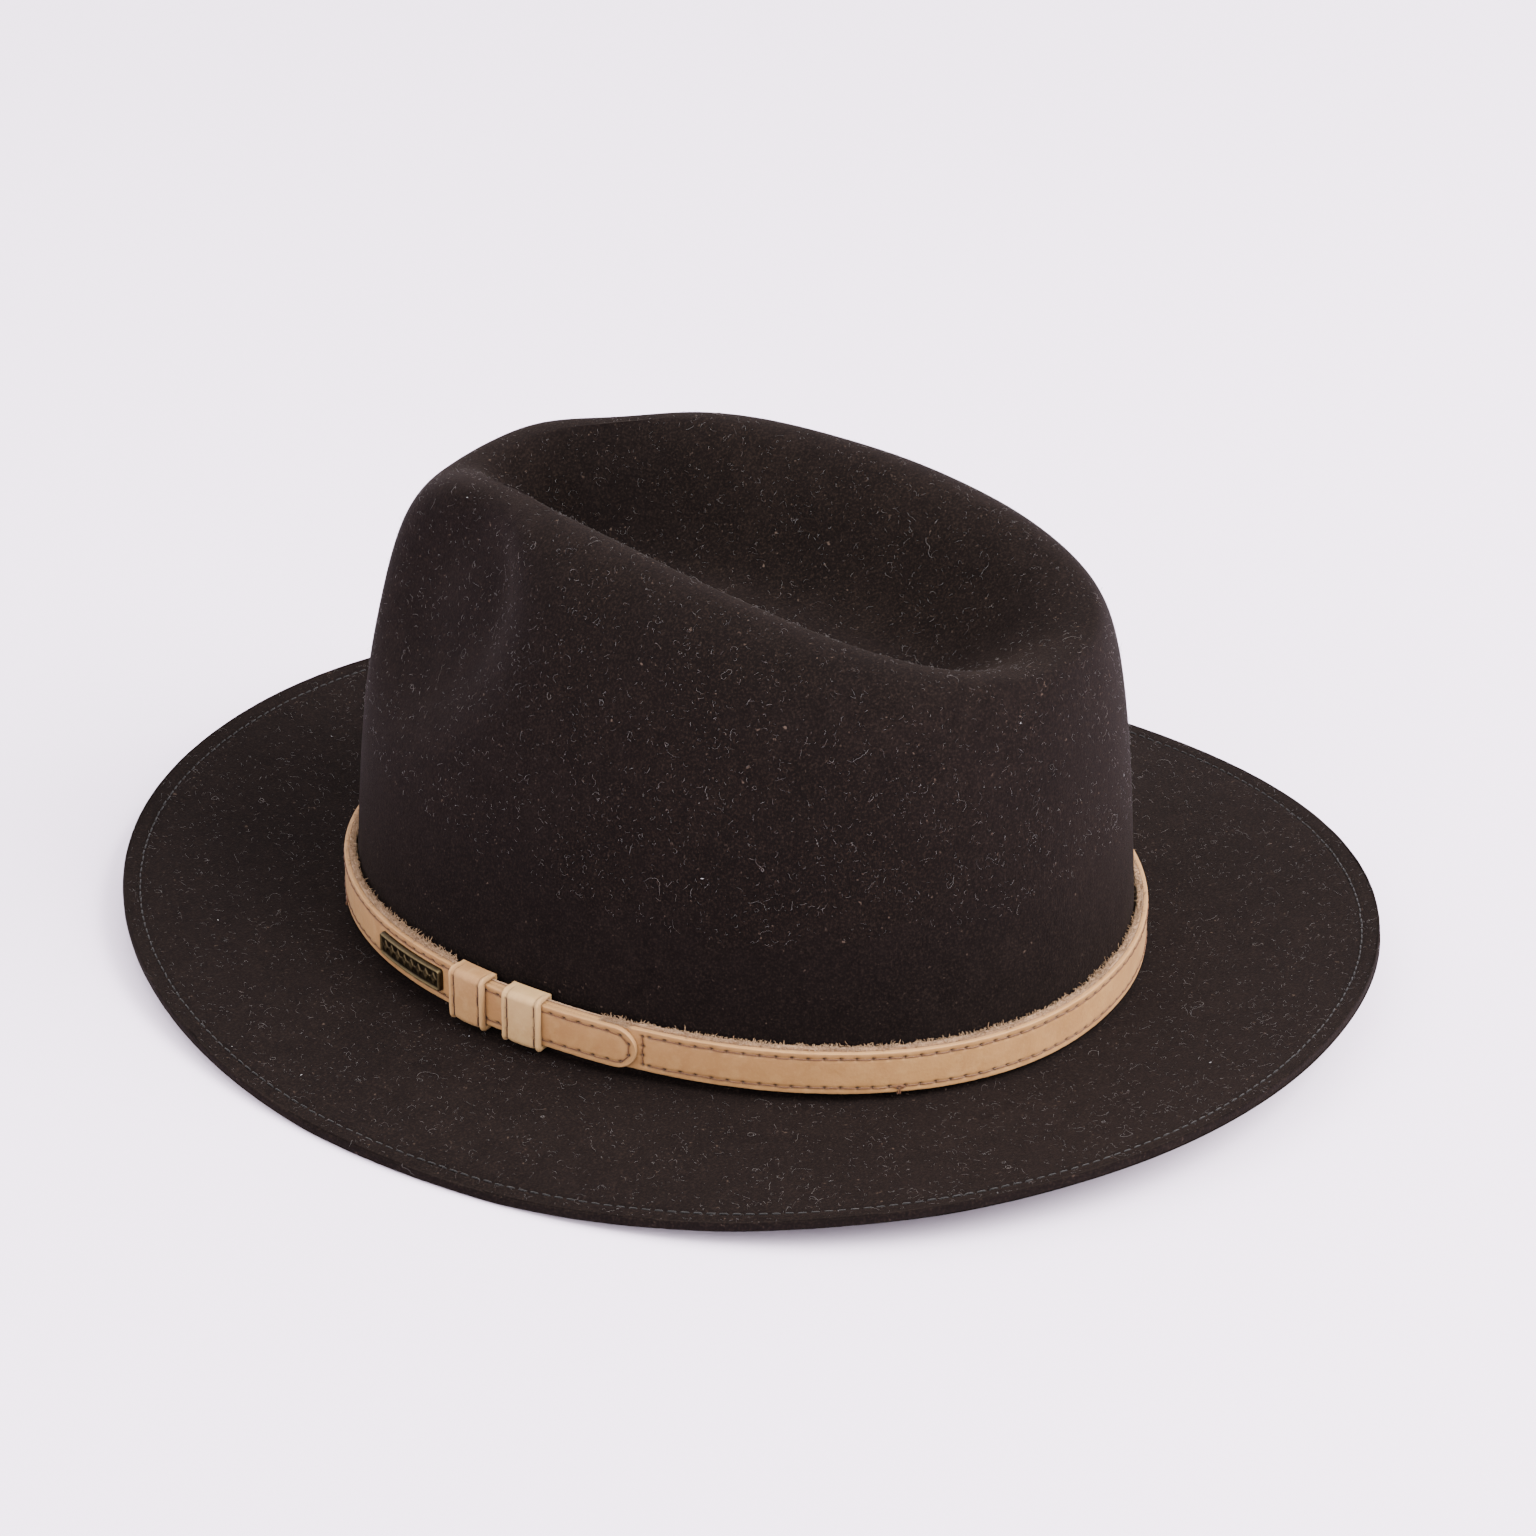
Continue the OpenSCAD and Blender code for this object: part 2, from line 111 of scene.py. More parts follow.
def ridge(t):
    u = (1 - np.cos(t * RAD)) / 2
    y = RIDGE_YF + (RIDGE_YR - RIDGE_YF) * u
    z = ridge_line(y) - SADDLE * front(t, 28)
    return np.stack([RIDGE_W * ridge_f(u) / RIDGE_FM * np.sign(np.round(np.sin(t * RAD), 9)), y, z], -1)


def wall_m(t):
    return 2.42 + 0.33 * np.cos(2 * t * RAD) + 0.09 * front(t, 35)


def wall_k(t):
    return 0.17 - 0.11 * np.cos(t * RAD) - 0.043 * np.cos(2 * t * RAD) - 0.157 * np.cos(3 * t * RAD) + 0.153 * front(t, 35)


def lean(t, h):
    m, k = wall_m(t), wall_k(t)
    h = np.clip(h, 0, 1)
    return k * h + (1 - k) * (1 - np.maximum(1 - h ** m, 0) ** (1 / m))


def pinch_at(t, h):
    d = np.abs(t - 360 * np.round(t / 360)) - 43
    q = np.hypot(d / np.where(d > 0, 21.0, 19.0), (h - 0.79) / np.where(h > 0.79, 0.2, 0.25))
    return PINCH * np.exp(-q ** 4)


def ease_at(t, h):
    d = np.abs(t - 360 * np.round(t / 360)) - 43
    return 1.8 * np.exp(-np.hypot(d / 31, (h - 0.79) / 0.31) ** 4) + 0.15 * pinch_at(t, h)


def surf(t, u):
    """The felt's outer surface. u: 0 brim edge, 1 fillet, 1.08 foot of the wall, 2 ridge, 3 middle of the dent."""
    t, u = np.broadcast_arrays(np.asarray(t, float), np.asarray(u, float))
    e2, k2, g = brim(t), foot(t), ridge(t)
    dv = e2 - k2
    length = np.linalg.norm(dv, axis=-1)
    d = dv / length[..., None]
    kz, gz = foot_z(t), g[..., 2]
    w = np.clip(1 - u, 0, 1)
    far = FILLET + (length - FILLET) * w
    a = np.concatenate([k2 + d * far[..., None], (kz + (brim_z(t) - kz) * w ** 1.5)[..., None]], -1)
    f = np.clip((u - 1) / 0.08, 0, 1) * 90 * RAD
    b = np.concatenate([k2 + d * (FILLET * (1 - np.sin(f)))[..., None], (kz + FILLET * (1 - np.cos(f)))[..., None]], -1)
    h = np.sin(np.clip((u - 1.08) / 0.92, 0, 1) * 90 * RAD) ** (2 / wall_m(t))
    c, p = lean(t, h), pinch_at(t, h)
    wl = np.concatenate([k2 + (g[..., :2] - k2) * c[..., None] - d * p[..., None], (kz + FILLET + (gz - kz - FILLET) * h)[..., None]], -1)
    r = np.clip(u - 2, 0, 1)
    mid = 9.7
    cd = g[..., 1] - mid
    cs = np.clip(-cd / 60, 0, 1)
    cy = mid + cd * (0.35 + 0.37 * cs * cs * (3 - 2 * cs))
    p = pinch_at(t, 1 + 0.35 * r)
    zf = ridge_line(cy) - DENT
    dn = np.stack([g[..., 0] * (1 - r) - d[..., 0] * p * (1 - r), g[..., 1] + (cy - g[..., 1]) * r - d[..., 1] * p * (1 - r),
                   gz + (zf - gz) * (1 - (1 - r * r) ** 3.6)], -1)
    out = np.where((u <= 1)[..., None], a, b)
    out = np.where((u >= 1.08)[..., None], wl, out)
    return np.where((u > 2)[..., None], dn, out)


def wall_pt(t, z, off):
    t, z, off = np.broadcast_arrays(np.asarray(t, float), np.asarray(z, float), np.asarray(off, float))
    g, k = ridge(t), foot(t)
    z0 = foot_z(t) + FILLET
    h = np.clip((z - z0) / (g[..., 2] - z0), 0, 1)
    c, n = lean(t, h), nrm(t)
    q = np.where(h > 0, pinch_at(t, h), 0)
    d = unit(brim(t) - k)
    xy = k + (g[..., :2] - k) * c[..., None] - d * q[..., None] + n * off[..., None]
    return np.concatenate([xy, z[..., None]], -1)


# ---- the strap's path, measured along its outer face from the front
def band_pt(t, off):
    return foot(t) + nrm(t) * np.asarray(off)[..., None]


def band_low(t):
    return BAND_Z - 1.65 * np.cos(2 * t * RAD)


_tt = np.arange(0, 360.25, 0.5)
_pp = band_pt(_tt, np.full(_tt.shape, FACE_OUT))
_ss = np.concatenate([[0], np.cumsum(np.linalg.norm(np.diff(_pp, axis=0), axis=1))])
RING = _ss[-1]


def t_at(s):
    s = np.asarray(s, float)
    return np.interp(s - RING * np.floor(s / RING), _ss, _tt)


def ramp(s, a, b):
    x = np.clip((np.asarray(s, float) - a) / (b - a), 0, 1)
    return x * x * (3 - 2 * x)


def step_out(s):
    return ramp(s, RING + 120.5, RING + 128) * (FACE_T + 0.05)


def pared(s):
    return 0.2 + 0.95 * (ramp(s, 117, 123) - ramp(s, 176, 182) + ramp(s, RING + 117, RING + 123))


def tip_cut(s):
    x = np.maximum(0, s - (RING + TIP_S - 5.8))
    return 5.8 * (1 - np.sqrt(np.maximum(0, 1 - (x / 5.81) ** 2)))


def on_band(s, off, z):
    """Row-frame point at arc s, off the crown's foot by off, z above the strap's lower edge."""
    s, off, z = np.broadcast_arrays(np.asarray(s, float), np.asarray(off, float), np.asarray(z, float))
    t = t_at(s)
    return np.concatenate([band_pt(t, off), (band_low(t) + z)[..., None]], -1)


def fit_span(s, w):
    p, q, r = (foot(t_at(np.array(x))) for x in (s - w, s, s + w))
    l1, l2, l3 = np.linalg.norm(q - p), np.linalg.norm(r - q), np.linalg.norm(r - p)
    ar = abs((q[0] - p[0]) * (r[1] - p[1]) - (r[0] - p[0]) * (q[1] - p[1])) / 2
    return l1 * l2 * l3 / (4 * ar)


def strap_frame(s):
    t = float(t_at(s))
    p, n = foot(np.array(t)), nrm(np.array(t))
    sl = math.atan(float(band_low(t_at(s + 4)) - band_low(t_at(s - 4))) / 8)
    m = Matrix.Translation((p[0], p[1], float(band_low(np.array(t))) + BAND_H / 2))
    m = m @ Matrix.Rotation(math.atan2(n[1], n[0]), 4, "Z") @ Matrix.Rotation(sl, 4, "X")
    return np.array(m)


def travel_frame(s, m, R):
    a = (s - m) / (R + FACE_OUT)
    k = Matrix.Translation((-R, 0, 0)) @ Matrix.Rotation(a, 4, "Z") @ Matrix.Translation((R, 0, 0))
    return strap_frame(m) @ np.array(k)


def place(M, v):
    return v @ M[:3, :3].T + M[:3, 3]


def bent(R, x, y, z, ref):
    """Local point on a piece that follows the strap's curve of radius R; y is arc length at offset ref."""
    a = y / (R + ref)
    return np.stack([-R + (R + x) * np.cos(a), (R + x) * np.sin(a), np.broadcast_to(z, np.shape(a))], -1)


# ------------------------------------------------------------------ mesh helpers
def grid(m, n, wrap_m=False, wrap_n=False, flip=False):
    i = np.arange(m if wrap_m else m - 1)
    j = np.arange(n if wrap_n else n - 1)
    i, j = np.meshgrid(i, j, indexing="ij")
    i2, j2 = (i + 1) % m, (j + 1) % n
    f = np.stack([i * n + j, i * n + j2, i2 * n + j2, i2 * n + j], -1).reshape(-1, 4)
    return f[:, ::-1] if flip else f


def add(name, v, f, mat, body="hat", attrs=None, smooth=True, nodes=(), tris=None, closed=True):
    """v in mm, f an array of quads, tris an array of triangles."""
    me = bpy.data.meshes.new(name)
    v = np.asarray(v, float).reshape(-1, 3) * 0.001
    parts = []
    if f is not None and len(f):
        f = np.asarray(f, np.int64)
        same = (f[:, 0] == f[:, 1]) | (f[:, 1] == f[:, 2]) | (f[:, 2] == f[:, 3]) | (f[:, 3] == f[:, 0])
        parts.append((f[~same], 4))
        deg = f[same]
        if len(deg):
            keep = []
            for q in deg:
                u = list(dict.fromkeys(q.tolist()))
                if len(u) == 3:
                    keep.append(u)
            if keep:
                parts.append((np.array(keep, np.int64), 3))
    if tris is not None and len(tris):
        parts.append((np.asarray(tris, np.int64), 3))
    total = sum(len(p) * k for p, k in parts)
    polys = sum(len(p) for p, k in parts)
    me.vertices.add(len(v))
    me.vertices.foreach_set("co", v.astype(np.float32).ravel())
    me.loops.add(total)
    me.loops.foreach_set("vertex_index", np.concatenate([p.ravel() for p, k in parts]).astype(np.int32))
    me.polygons.add(polys)
    sizes = np.concatenate([np.full(len(p), k) for p, k in parts])
    starts = np.concatenate([[0], np.cumsum(sizes)[:-1]])
    me.polygons.foreach_set("loop_start", starts.astype(np.int32))
    me.polygons.foreach_set("loop_total", sizes.astype(np.int32))
    me.update(calc_edges=True)
    me.validate()
    if closed:
        vol = sum((np.cross(v[p[:, 1]], v[p[:, 2]]) * v[p[:, 0]]).sum() + (0 if k == 3 else (np.cross(v[p[:, 2]], v[p[:, 3]]) * v[p[:, 0]]).sum()) for p, k in parts)
        if vol < 0:
            me.flip_normals()
    me.polygons.foreach_set("use_smooth", np.full(len(me.polygons), bool(smooth)))
    for k, a in (attrs or {}).items():
        at = me.attributes.new(k, "FLOAT", "POINT")
        at.data.foreach_set("value", np.asarray(a, np.float32).ravel())
    me.update()
    o = bpy.data.objects.new(name, me)
    bpy.context.scene.collection.objects.link(o)
    me.materials.append(mat)
    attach(o, body)
    if nodes:
        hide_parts(*nodes)
    return o


def tubes(paths, radius, sides=4, shrink=True):
    """paths (F, S, 3), radius scalar or (F, 1) or (F, S). Returns verts, quads of F tubes."""
    F, S, _ = paths.shape
    r = np.broadcast_to(np.asarray(radius, float), (F, S)).copy()
    if shrink:
        r[:, 0] *= 0.35
        r[:, -1] *= 0.35
    tg = unit(np.gradient(paths, axis=1))
    ref = np.where(np.abs(tg[..., 2:3]) < 0.8, np.array([0, 0, 1.0]), np.array([1.0, 0, 0]))
    e1 = unit(np.cross(tg, ref))
    e2 = np.cross(tg, e1)
    a = np.arange(sides) * 2 * np.pi / sides
    ring = e1[:, :, None, :] * np.cos(a)[None, None, :, None] + e2[:, :, None, :] * np.sin(a)[None, None, :, None]
    v = paths[:, :, None, :] + ring * r[:, :, None, None]
    base = grid(S, sides, wrap_n=True)
    f = (np.arange(F)[:, None, None] * S * sides + base[None]).reshape(-1, 4)
    ends = []
    if sides == 4:
        o = np.arange(F)[:, None] * S * sides
        ends = [o + np.array([[3, 2, 1, 0]]), o + (S - 1) * sides + np.array([[0, 1, 2, 3]])]
        f = np.concatenate([f, ends[0], ends[1]])
    tri = None
    if sides == 3:
        o = np.arange(F)[:, None] * S * sides
        tri = np.concatenate([o + np.array([[2, 1, 0]]), o + (S - 1) * sides + np.array([[0, 1, 2]])])
    return v.reshape(-1, 3), f, tri


def join(parts):
    """Joins (v, f, tri) parts into one."""
    vs, fs, ts, off = [], [], [], 0
    for v, f, t in parts:
        vs.append(np.asarray(v).reshape(-1, 3))
        if f is not None and len(f):
            fs.append(np.asarray(f) + off)
        if t is not None and len(t):
            ts.append(np.asarray(t) + off)
        off += len(vs[-1])
    return np.concatenate(vs), (np.concatenate(fs) if fs else None), (np.concatenate(ts) if ts else None)


# ------------------------------------------------------------------ materials
def srgb(r, g, b):
    def f(x):
        x /= 255
        return x / 12.92 if x <= 0.04045 else ((x + 0.055) / 1.055) ** 2.4
    return (f(r), f(g), f(b), 1.0)


def toned(f):
    return lambda r, g, b: tuple(c * k for c, k in zip(srgb(r, g, b), f)) + (1.0,)


felted = toned((0.174, 0.159, 0.141))
tan = toned((0.545, 0.475, 0.3))
suede = toned((0.45, 0.415, 0.325))


class Mat:
    def __init__(self, name, rough=0.8, metallic=0.0, **sockets):
        self.m = bpy.data.materials.new(name)
        self.m.use_nodes = True
        self.t = self.m.node_tree
        self.p = self.t.nodes["Principled BSDF"]
        self.p.inputs["Roughness"].default_value = rough
        self.p.inputs["Metallic"].default_value = metallic
        for k, v in sockets.items():
            self.p.inputs[k.replace("_", " ")].default_value = v
        self.co = self.t.nodes.new("ShaderNodeTexCoord").outputs["Object"]

    def new(self, kind, **kw):
        n = self.t.nodes.new(kind)
        for k, v in kw.items():
            setattr(n, k, v)
        return n

    def link(self, a, b):
        self.t.links.new(a, b)

    def scaled(self, x, y, z, rot=(0, 0, 0)):
        n = self.new("ShaderNodeMapping")
        n.inputs["Scale"].default_value = (x, y, z)
        n.inputs["Rotation"].default_value = rot
        self.link(self.co, n.inputs["Vector"])
        return n.outputs["Vector"]

    def noise(self, scale, detail=3.0, rough=0.55, vec=None, distortion=0.0):
        n = self.new("ShaderNodeTexNoise")
        n.inputs["Scale"].default_value = scale
        n.inputs["Detail"].default_value = detail
        n.inputs["Roughness"].default_value = rough
        n.inputs["Distortion"].default_value = distortion
        self.link(vec or self.co, n.inputs["Vector"])
        return n.outputs["Fac"]

    def voronoi(self, scale, feature="F1", vec=None):
        n = self.new("ShaderNodeTexVoronoi", feature=feature)
        n.inputs["Scale"].default_value = scale
        self.link(vec or self.co, n.inputs["Vector"])
        return n.outputs["Distance"]

    def attr(self, name):
        n = self.new("ShaderNodeAttribute", attribute_name=name)
        return n.outputs["Fac"]

    def rng(self, a, lo, hi, out_lo=0.0, out_hi=1.0, smooth=False):
        n = self.new("ShaderNodeMapRange")
        if smooth:
            n.interpolation_type = "SMOOTHSTEP"
        n.inputs["From Min"].default_value = lo
        n.inputs["From Max"].default_value = hi
        n.inputs["To Min"].default_value = out_lo
        n.inputs["To Max"].default_value = out_hi
        self.link(a, n.inputs["Value"])
        return n.outputs["Result"]

    def math(self, op, a, b=0.5):
        n = self.new("ShaderNodeMath", operation=op)
        for i, x in enumerate((a, b)):
            if isinstance(x, (int, float)):
                n.inputs[i].default_value = x
            else:
                self.link(x, n.inputs[i])
        return n.outputs[0]

    def mix(self, f, a, b, mode="MIX"):
        n = self.new("ShaderNodeMix", data_type="RGBA", blend_type=mode)
        for i, x in ((0, f), (6, a), (7, b)):
            if isinstance(x, (int, float)):
                n.inputs[i].default_value = x
            elif isinstance(x, tuple):
                n.inputs[i].default_value = x
            else:
                self.link(x, n.inputs[i])
        return n.outputs[2]

    def color(self, c):
        self.link(c, self.p.inputs["Base Color"])

    def rough(self, r):
        self.link(r, self.p.inputs["Roughness"])

    def bump(self, *layers):
        """layers of (height, strength, distance in mm)."""
        prev = None
        for h, s, d in layers:
            n = self.new("ShaderNodeBump")
            n.inputs["Strength"].default_value = s
            n.inputs["Distance"].default_value = d * 0.001
            self.link(h, n.inputs["Height"])
            if prev is not None:
                self.link(prev, n.inputs["Normal"])
            prev = n.outputs["Normal"]
        self.link(prev, self.p.inputs["Normal"])


def felt_material(name, warm=0.0):
    m = Mat(name, rough=0.96, Sheen_Weight=0.032, Sheen_Roughness=0.45, Sheen_Tint=srgb(156, 126, 110), Specular_IOR_Level=0.045)
    base = m.mix(m.rng(m.noise(28, 4), 0.35, 0.65), felted(41 + warm, 34, 34), felted(49 + warm, 41, 40))
    base = m.mix(m.rng(m.noise(160, 4, 0.6), 0.35, 0.7), base, felted(37, 30, 30))
    fine = m.noise(1500, 4, 0.7)
    base = m.mix(m.rng(fine, 0.5, 0.82, 0, 0.55), base, felted(112, 96, 88))
    base = m.mix(m.rng(fine, 0.46, 0.24, 0, 0.65), base, felted(19, 15, 16))
    speck = m.math("MULTIPLY", m.rng(m.noise(760, 2, 0.5), 0.69, 0.76), m.rng(m.noise(120, 2), 0.4, 0.62))
    base = m.mix(m.math("MULTIPLY", speck, 0.55), base, felted(190, 168, 156))
    m.color(base)
    fib = m.noise(900, 5, 0.75, m.scaled(1, 1, 0.35, (0.5, 0.3, 0.9)), 1.2)
    fib2 = m.noise(1100, 4, 0.7, m.scaled(0.35, 1, 1, (0.2, 0.8, 0.1)), 1.4)
    m.bump((m.noise(60, 3), 0.25, 0.5), (fib, 0.55, 0.35), (fib2, 0.45, 0.3), (m.noise(2600, 3), 0.4, 0.15))
    return m.m


def leather_material(name, main, dark, pale, edge, rough=0.62, grain=520, hole=True):
    m = Mat(name, rough=rough, Specular_IOR_Level=0.35, Sheen_Weight=0.08, Sheen_Roughness=0.5, Sheen_Tint=srgb(255, 236, 214))
    mott = m.noise(75, 5, 0.6, None, 0.6)
    base = m.mix(m.rng(mott, 0.38, 0.64), main, dark)
    base = m.mix(m.rng(m.noise(240, 4, 0.62), 0.5, 0.74, 0, 0.6), base, pale)
    pores = m.voronoi(grain * 3.2)
    base = m.mix(m.rng(pores, 0.16, 0.02, 0, 0.28), base, dark)
    base = m.mix(m.rng(m.noise(1500, 3, 0.6), 0.52, 0.8, 0, 0.4), base, pale)
    base = m.mix(m.attr("edge"), base, edge)
    # painted shade: the needle holes, stitch grooves and thread furrows get this dark tone
    base = m.mix(m.attr("shade_and_patina"), base, tan(40, 24, 16))
    m.color(base)
    m.rough(m.rng(m.noise(300, 3), 0.3, 0.7, rough - 0.08, rough + 0.12))
    m.bump((m.noise(120, 4), 0.25, 0.4), (m.voronoi(grain * 2), 0.22, 0.12), (m.noise(1700, 3, 0.7), 0.35, 0.1))
    return m.m


def suede_material(name, a, b, c):
    m = Mat(name, rough=0.95, Sheen_Weight=0.4, Sheen_Roughness=0.5, Sheen_Tint=srgb(255, 232, 205), Specular_IOR_Level=0.1)
    base = m.mix(m.rng(m.noise(420, 4, 0.7), 0.35, 0.65), a, b)
    base = m.mix(m.rng(m.noise(2400, 3, 0.7), 0.5, 0.75), base, c)
    m.color(base)
    m.bump((m.noise(900, 5, 0.75), 0.8, 0.5), (m.noise(2600, 4, 0.7), 0.6, 0.2))
    return m.m


def thread_material(name, a, b, lengthwise=None):
    m = Mat(name, rough=0.7, Sheen_Weight=0.15, Sheen_Roughness=0.4, Specular_IOR_Level=0.3)
    base = m.mix(m.rng(m.noise(1300, 3), 0.35, 0.7), a, b)
    m.color(base)
    m.bump((m.noise(2600, 3, 0.6, m.scaled(1, 1, 1.6, (0.6, 0.4, 0.2))), 0.6, 0.12))
    return m.m


M_FELT = felt_material("felt")
M_FELT_THREAD = thread_material("felt_thread", felted(24, 19, 18), felted(40, 32, 30))
M_LEATHER = leather_material("tan_leather", tan(192, 150, 112), tan(178, 135, 98), tan(204, 166, 128), tan(192, 154, 118))
M_KEEPER_F = leather_material("keeper_leather_front", tan(196, 158, 122), tan(182, 142, 106), tan(210, 176, 142), tan(206, 170, 136))
M_KEEPER_R = leather_material("keeper_leather_rear", tan(212, 182, 150), tan(198, 164, 130), tan(224, 198, 168), tan(210, 178, 146))
M_SUEDE = suede_material("suede", suede(186, 150, 122), suede(160, 122, 96), suede(214, 184, 158))
M_FUZZ = suede_material("suede_fibre", suede(206, 172, 144), suede(176, 140, 114), suede(232, 206, 182))
M_THREAD = thread_material("brown_thread", tan(124, 84, 58), tan(92, 58, 40))
M_THREAD_DARK = thread_material("keeper_thread", tan(98, 62, 42), tan(70, 42, 30))
M_SWEAT_THREAD = thread_material("sweat_thread", srgb(150, 122, 92), srgb(120, 94, 70))


def brass_material():
    m = Mat("antique_brass", rough=0.42, metallic=1.0, Specular_IOR_Level=0.5)
    worn = m.attr("worn")
    patch = m.rng(m.noise(420, 4, 0.65), 0.38, 0.66)
    dark = m.mix(patch, srgb(44, 37, 26), srgb(62, 53, 36))
    base = m.mix(m.math("MULTIPLY", worn, m.rng(m.noise(900, 3), 0.2, 0.6, 0.55, 1.0)), dark, srgb(128, 112, 78))
    base = m.mix(m.attr("shade_and_patina"), base, srgb(18, 14, 10))
    m.color(base)
    m.rough(m.rng(m.noise(700, 4), 0.3, 0.7, 0.34, 0.6))
    m.bump((m.noise(1400, 3), 0.25, 0.08), (m.noise(5200, 2, 0.6, m.scaled(1, 1, 0.15)), 0.15, 0.03))
    return m.m


M_BRASS = brass_material()


def lint_material(name, a, b):
    m = Mat(name, rough=0.8, Sheen_Weight=0.3, Sheen_Roughness=0.4)
    m.color(m.mix(m.rng(m.noise(90, 1), 0.42, 0.58), a, b))
    m.bump((m.noise(3000, 2), 0.3, 0.03))
    return m.m


M_LINT = lint_material("lint_pale", srgb(80, 71, 66), srgb(50, 42, 39))
M_NAP = lint_material("lint_brown", srgb(66, 54, 50), srgb(44, 36, 34))
M_WHITE = lint_material("lint_white", srgb(200, 198, 198), srgb(176, 174, 176))

# ------------------------------------------------------------------ the felt
N_T = 640
T = np.arange(N_T) * 360 / N_T


def field(x, y, z, seed, wl, k=7):
    """A smooth sum of waves of about wavelength wl, between -1 and 1."""
    g = np.random.default_rng(seed)
    out = 0
    for _ in range(k):
        d = unit(g.normal(size=3)) * 2 * math.pi / (wl * g.uniform(0.7, 1.4))
        out = out + np.sin(x * d[0] + y * d[1] + z * d[2] + g.uniform(0, 6.3))
    return out / k


def surface_normals(P):
    """P (K, N, 3) with rows by rising u, wrapped in t. Normals out of the felt."""
    dt = np.roll(P, -1, 1) - np.roll(P, 1, 1)
    du = np.gradient(P, axis=0)
    n = np.cross(dt, du)
    L = np.linalg.norm(n, axis=-1, keepdims=True)
    n = n / np.maximum(L, 1e-9)
    n[-1] = n[-2]
    n[-1, :, 0] = 0
    n[-1] = unit(n[-1])
    return n


def u_rows(fine):
    a = np.concatenate([np.arange(0.5 / 60, 0.2, 0.0075 if fine else 0.02), np.linspace(0.2, 0.98, 48 if fine else 30)])
    b = np.linspace(1, 1.08, 7 if fine else 4)
    c = np.linspace(1.08, 2, 120 if fine else 60)[1:]
    d = np.linspace(2, 3, 96 if fine else 48)[1:]
    return np.concatenate([a, b, c, d])


def shape_rows(us, top):
    P = surf(T[None], us[:, None])
    n = surface_normals(P)
    length = np.linalg.norm(brim(T) - foot(T), axis=-1)[None]
    away = np.where(us[:, None] <= 1, (1 - us[:, None]) * 0 + us[:, None] * (length - FILLET), 1e3)
    # a shallow furrow where the edge stitching pulls the felt down
    seat = EDGE_ROW / 60 * (length - FILLET)
    furrow = 0.22 * np.exp(-((away - seat) / 0.75) ** 2)
    free = ramp(us[:, None], 1.35, 1.7) * 1.0 + (1 - ramp(us[:, None], 0.55, 0.8))
    soft = 0.22 * field(P[..., 0], P[..., 1], P[..., 2], 3, 46) * np.clip(free, 0, 1)
    return P, n, furrow, soft


us = u_rows(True)
P, NV, furrow, soft = shape_rows(us, True)
OUT = P + NV * (soft - furrow)[..., None]
OUT[-1, :, 0] = 0
us_in = u_rows(False)[::1]
Pi, Ni, fi, si = shape_rows(us_in, False)
INN = Pi - Ni * (FELT - si - fi * 0.9)[..., None]
INN[-1, :, 0] = 0
ed = unit(brim(T) - foot(T))
E = surf(T, 0 * T)
edge_rows = []
for a in np.linspace(0, 90, 5):
    edge_rows.append(E + np.concatenate([ed * (-0.5 + 0.5 * math.sin(a * RAD)), np.full((N_T, 1), -0.5 + 0.5 * math.cos(a * RAD))], -1))
for q in (0.35, 0.65):
    edge_rows.append(E + np.concatenate([ed * (0.05 * math.sin(q * 20)), np.full((N_T, 1), -0.5 - (FELT - 1) * q)], -1))
for a in np.linspace(90, 0, 5):
    edge_rows.append(E + np.concatenate([ed * (-0.5 + 0.5 * math.sin(a * RAD)), np.full((N_T, 1), -FELT + 0.5 - 0.5 * math.cos(a * RAD))], -1))
EDGE = np.array(edge_rows)
rough_edge = 0.07 * field(EDGE[..., 0], EDGE[..., 1], EDGE[..., 2], 9, 2.2)
EDGE[1:-1] += np.concatenate([ed[None] * rough_edge[1:-1, :, None], 0 * rough_edge[1:-1, :, None]], -1)
rows = np.concatenate([OUT[::-1], EDGE, INN])
rows[..., 2] = np.maximum(rows[..., 2], 0)
K = len(rows)
quads = grid(K, N_T, wrap_n=True)
half = N_T // 2
mirror = np.arange(N_T)
mirror[half + 1:] = N_T - mirror[half + 1:]
idx = np.arange(K * N_T).reshape(K, N_T)
idx[0] = idx[0][mirror]
idx[-1] = idx[-1][mirror]
quads = idx.ravel()[quads]
felt = add("felt_body_soft", rows.reshape(-1, 3), quads, M_FELT, "hat", nodes=("felt_body",))


# ---- separate stitches
def stitch_tubes(centres, along, out, length, rise, sink, radius, seg=7, sides=5, wobble=0.0, seed=1):
    """Thread arcs: centres (N,3), along and out unit vectors, sunk at both ends."""
    g = np.random.default_rng(seed)
    x = np.linspace(-1, 1, seg)[None]
    prof = rise * (1 - np.abs(x) ** 4) - sink * np.abs(x) ** 6
    side = np.cross(along, out)
    w = g.normal(0, wobble, (len(centres), 1)) * np.ones_like(x) + g.normal(0, wobble, (len(centres), 1)) * x
    L = np.asarray(length).reshape(-1, 1) if np.ndim(length) else np.full((len(centres), 1), length)
    p = centres[:, None] + along[:, None] * (x * L / 2)[..., None] + out[:, None] * np.broadcast_to(prof, (len(centres), seg))[..., None] + side[:, None] * w[..., None]
    return tubes(p, radius, sides)


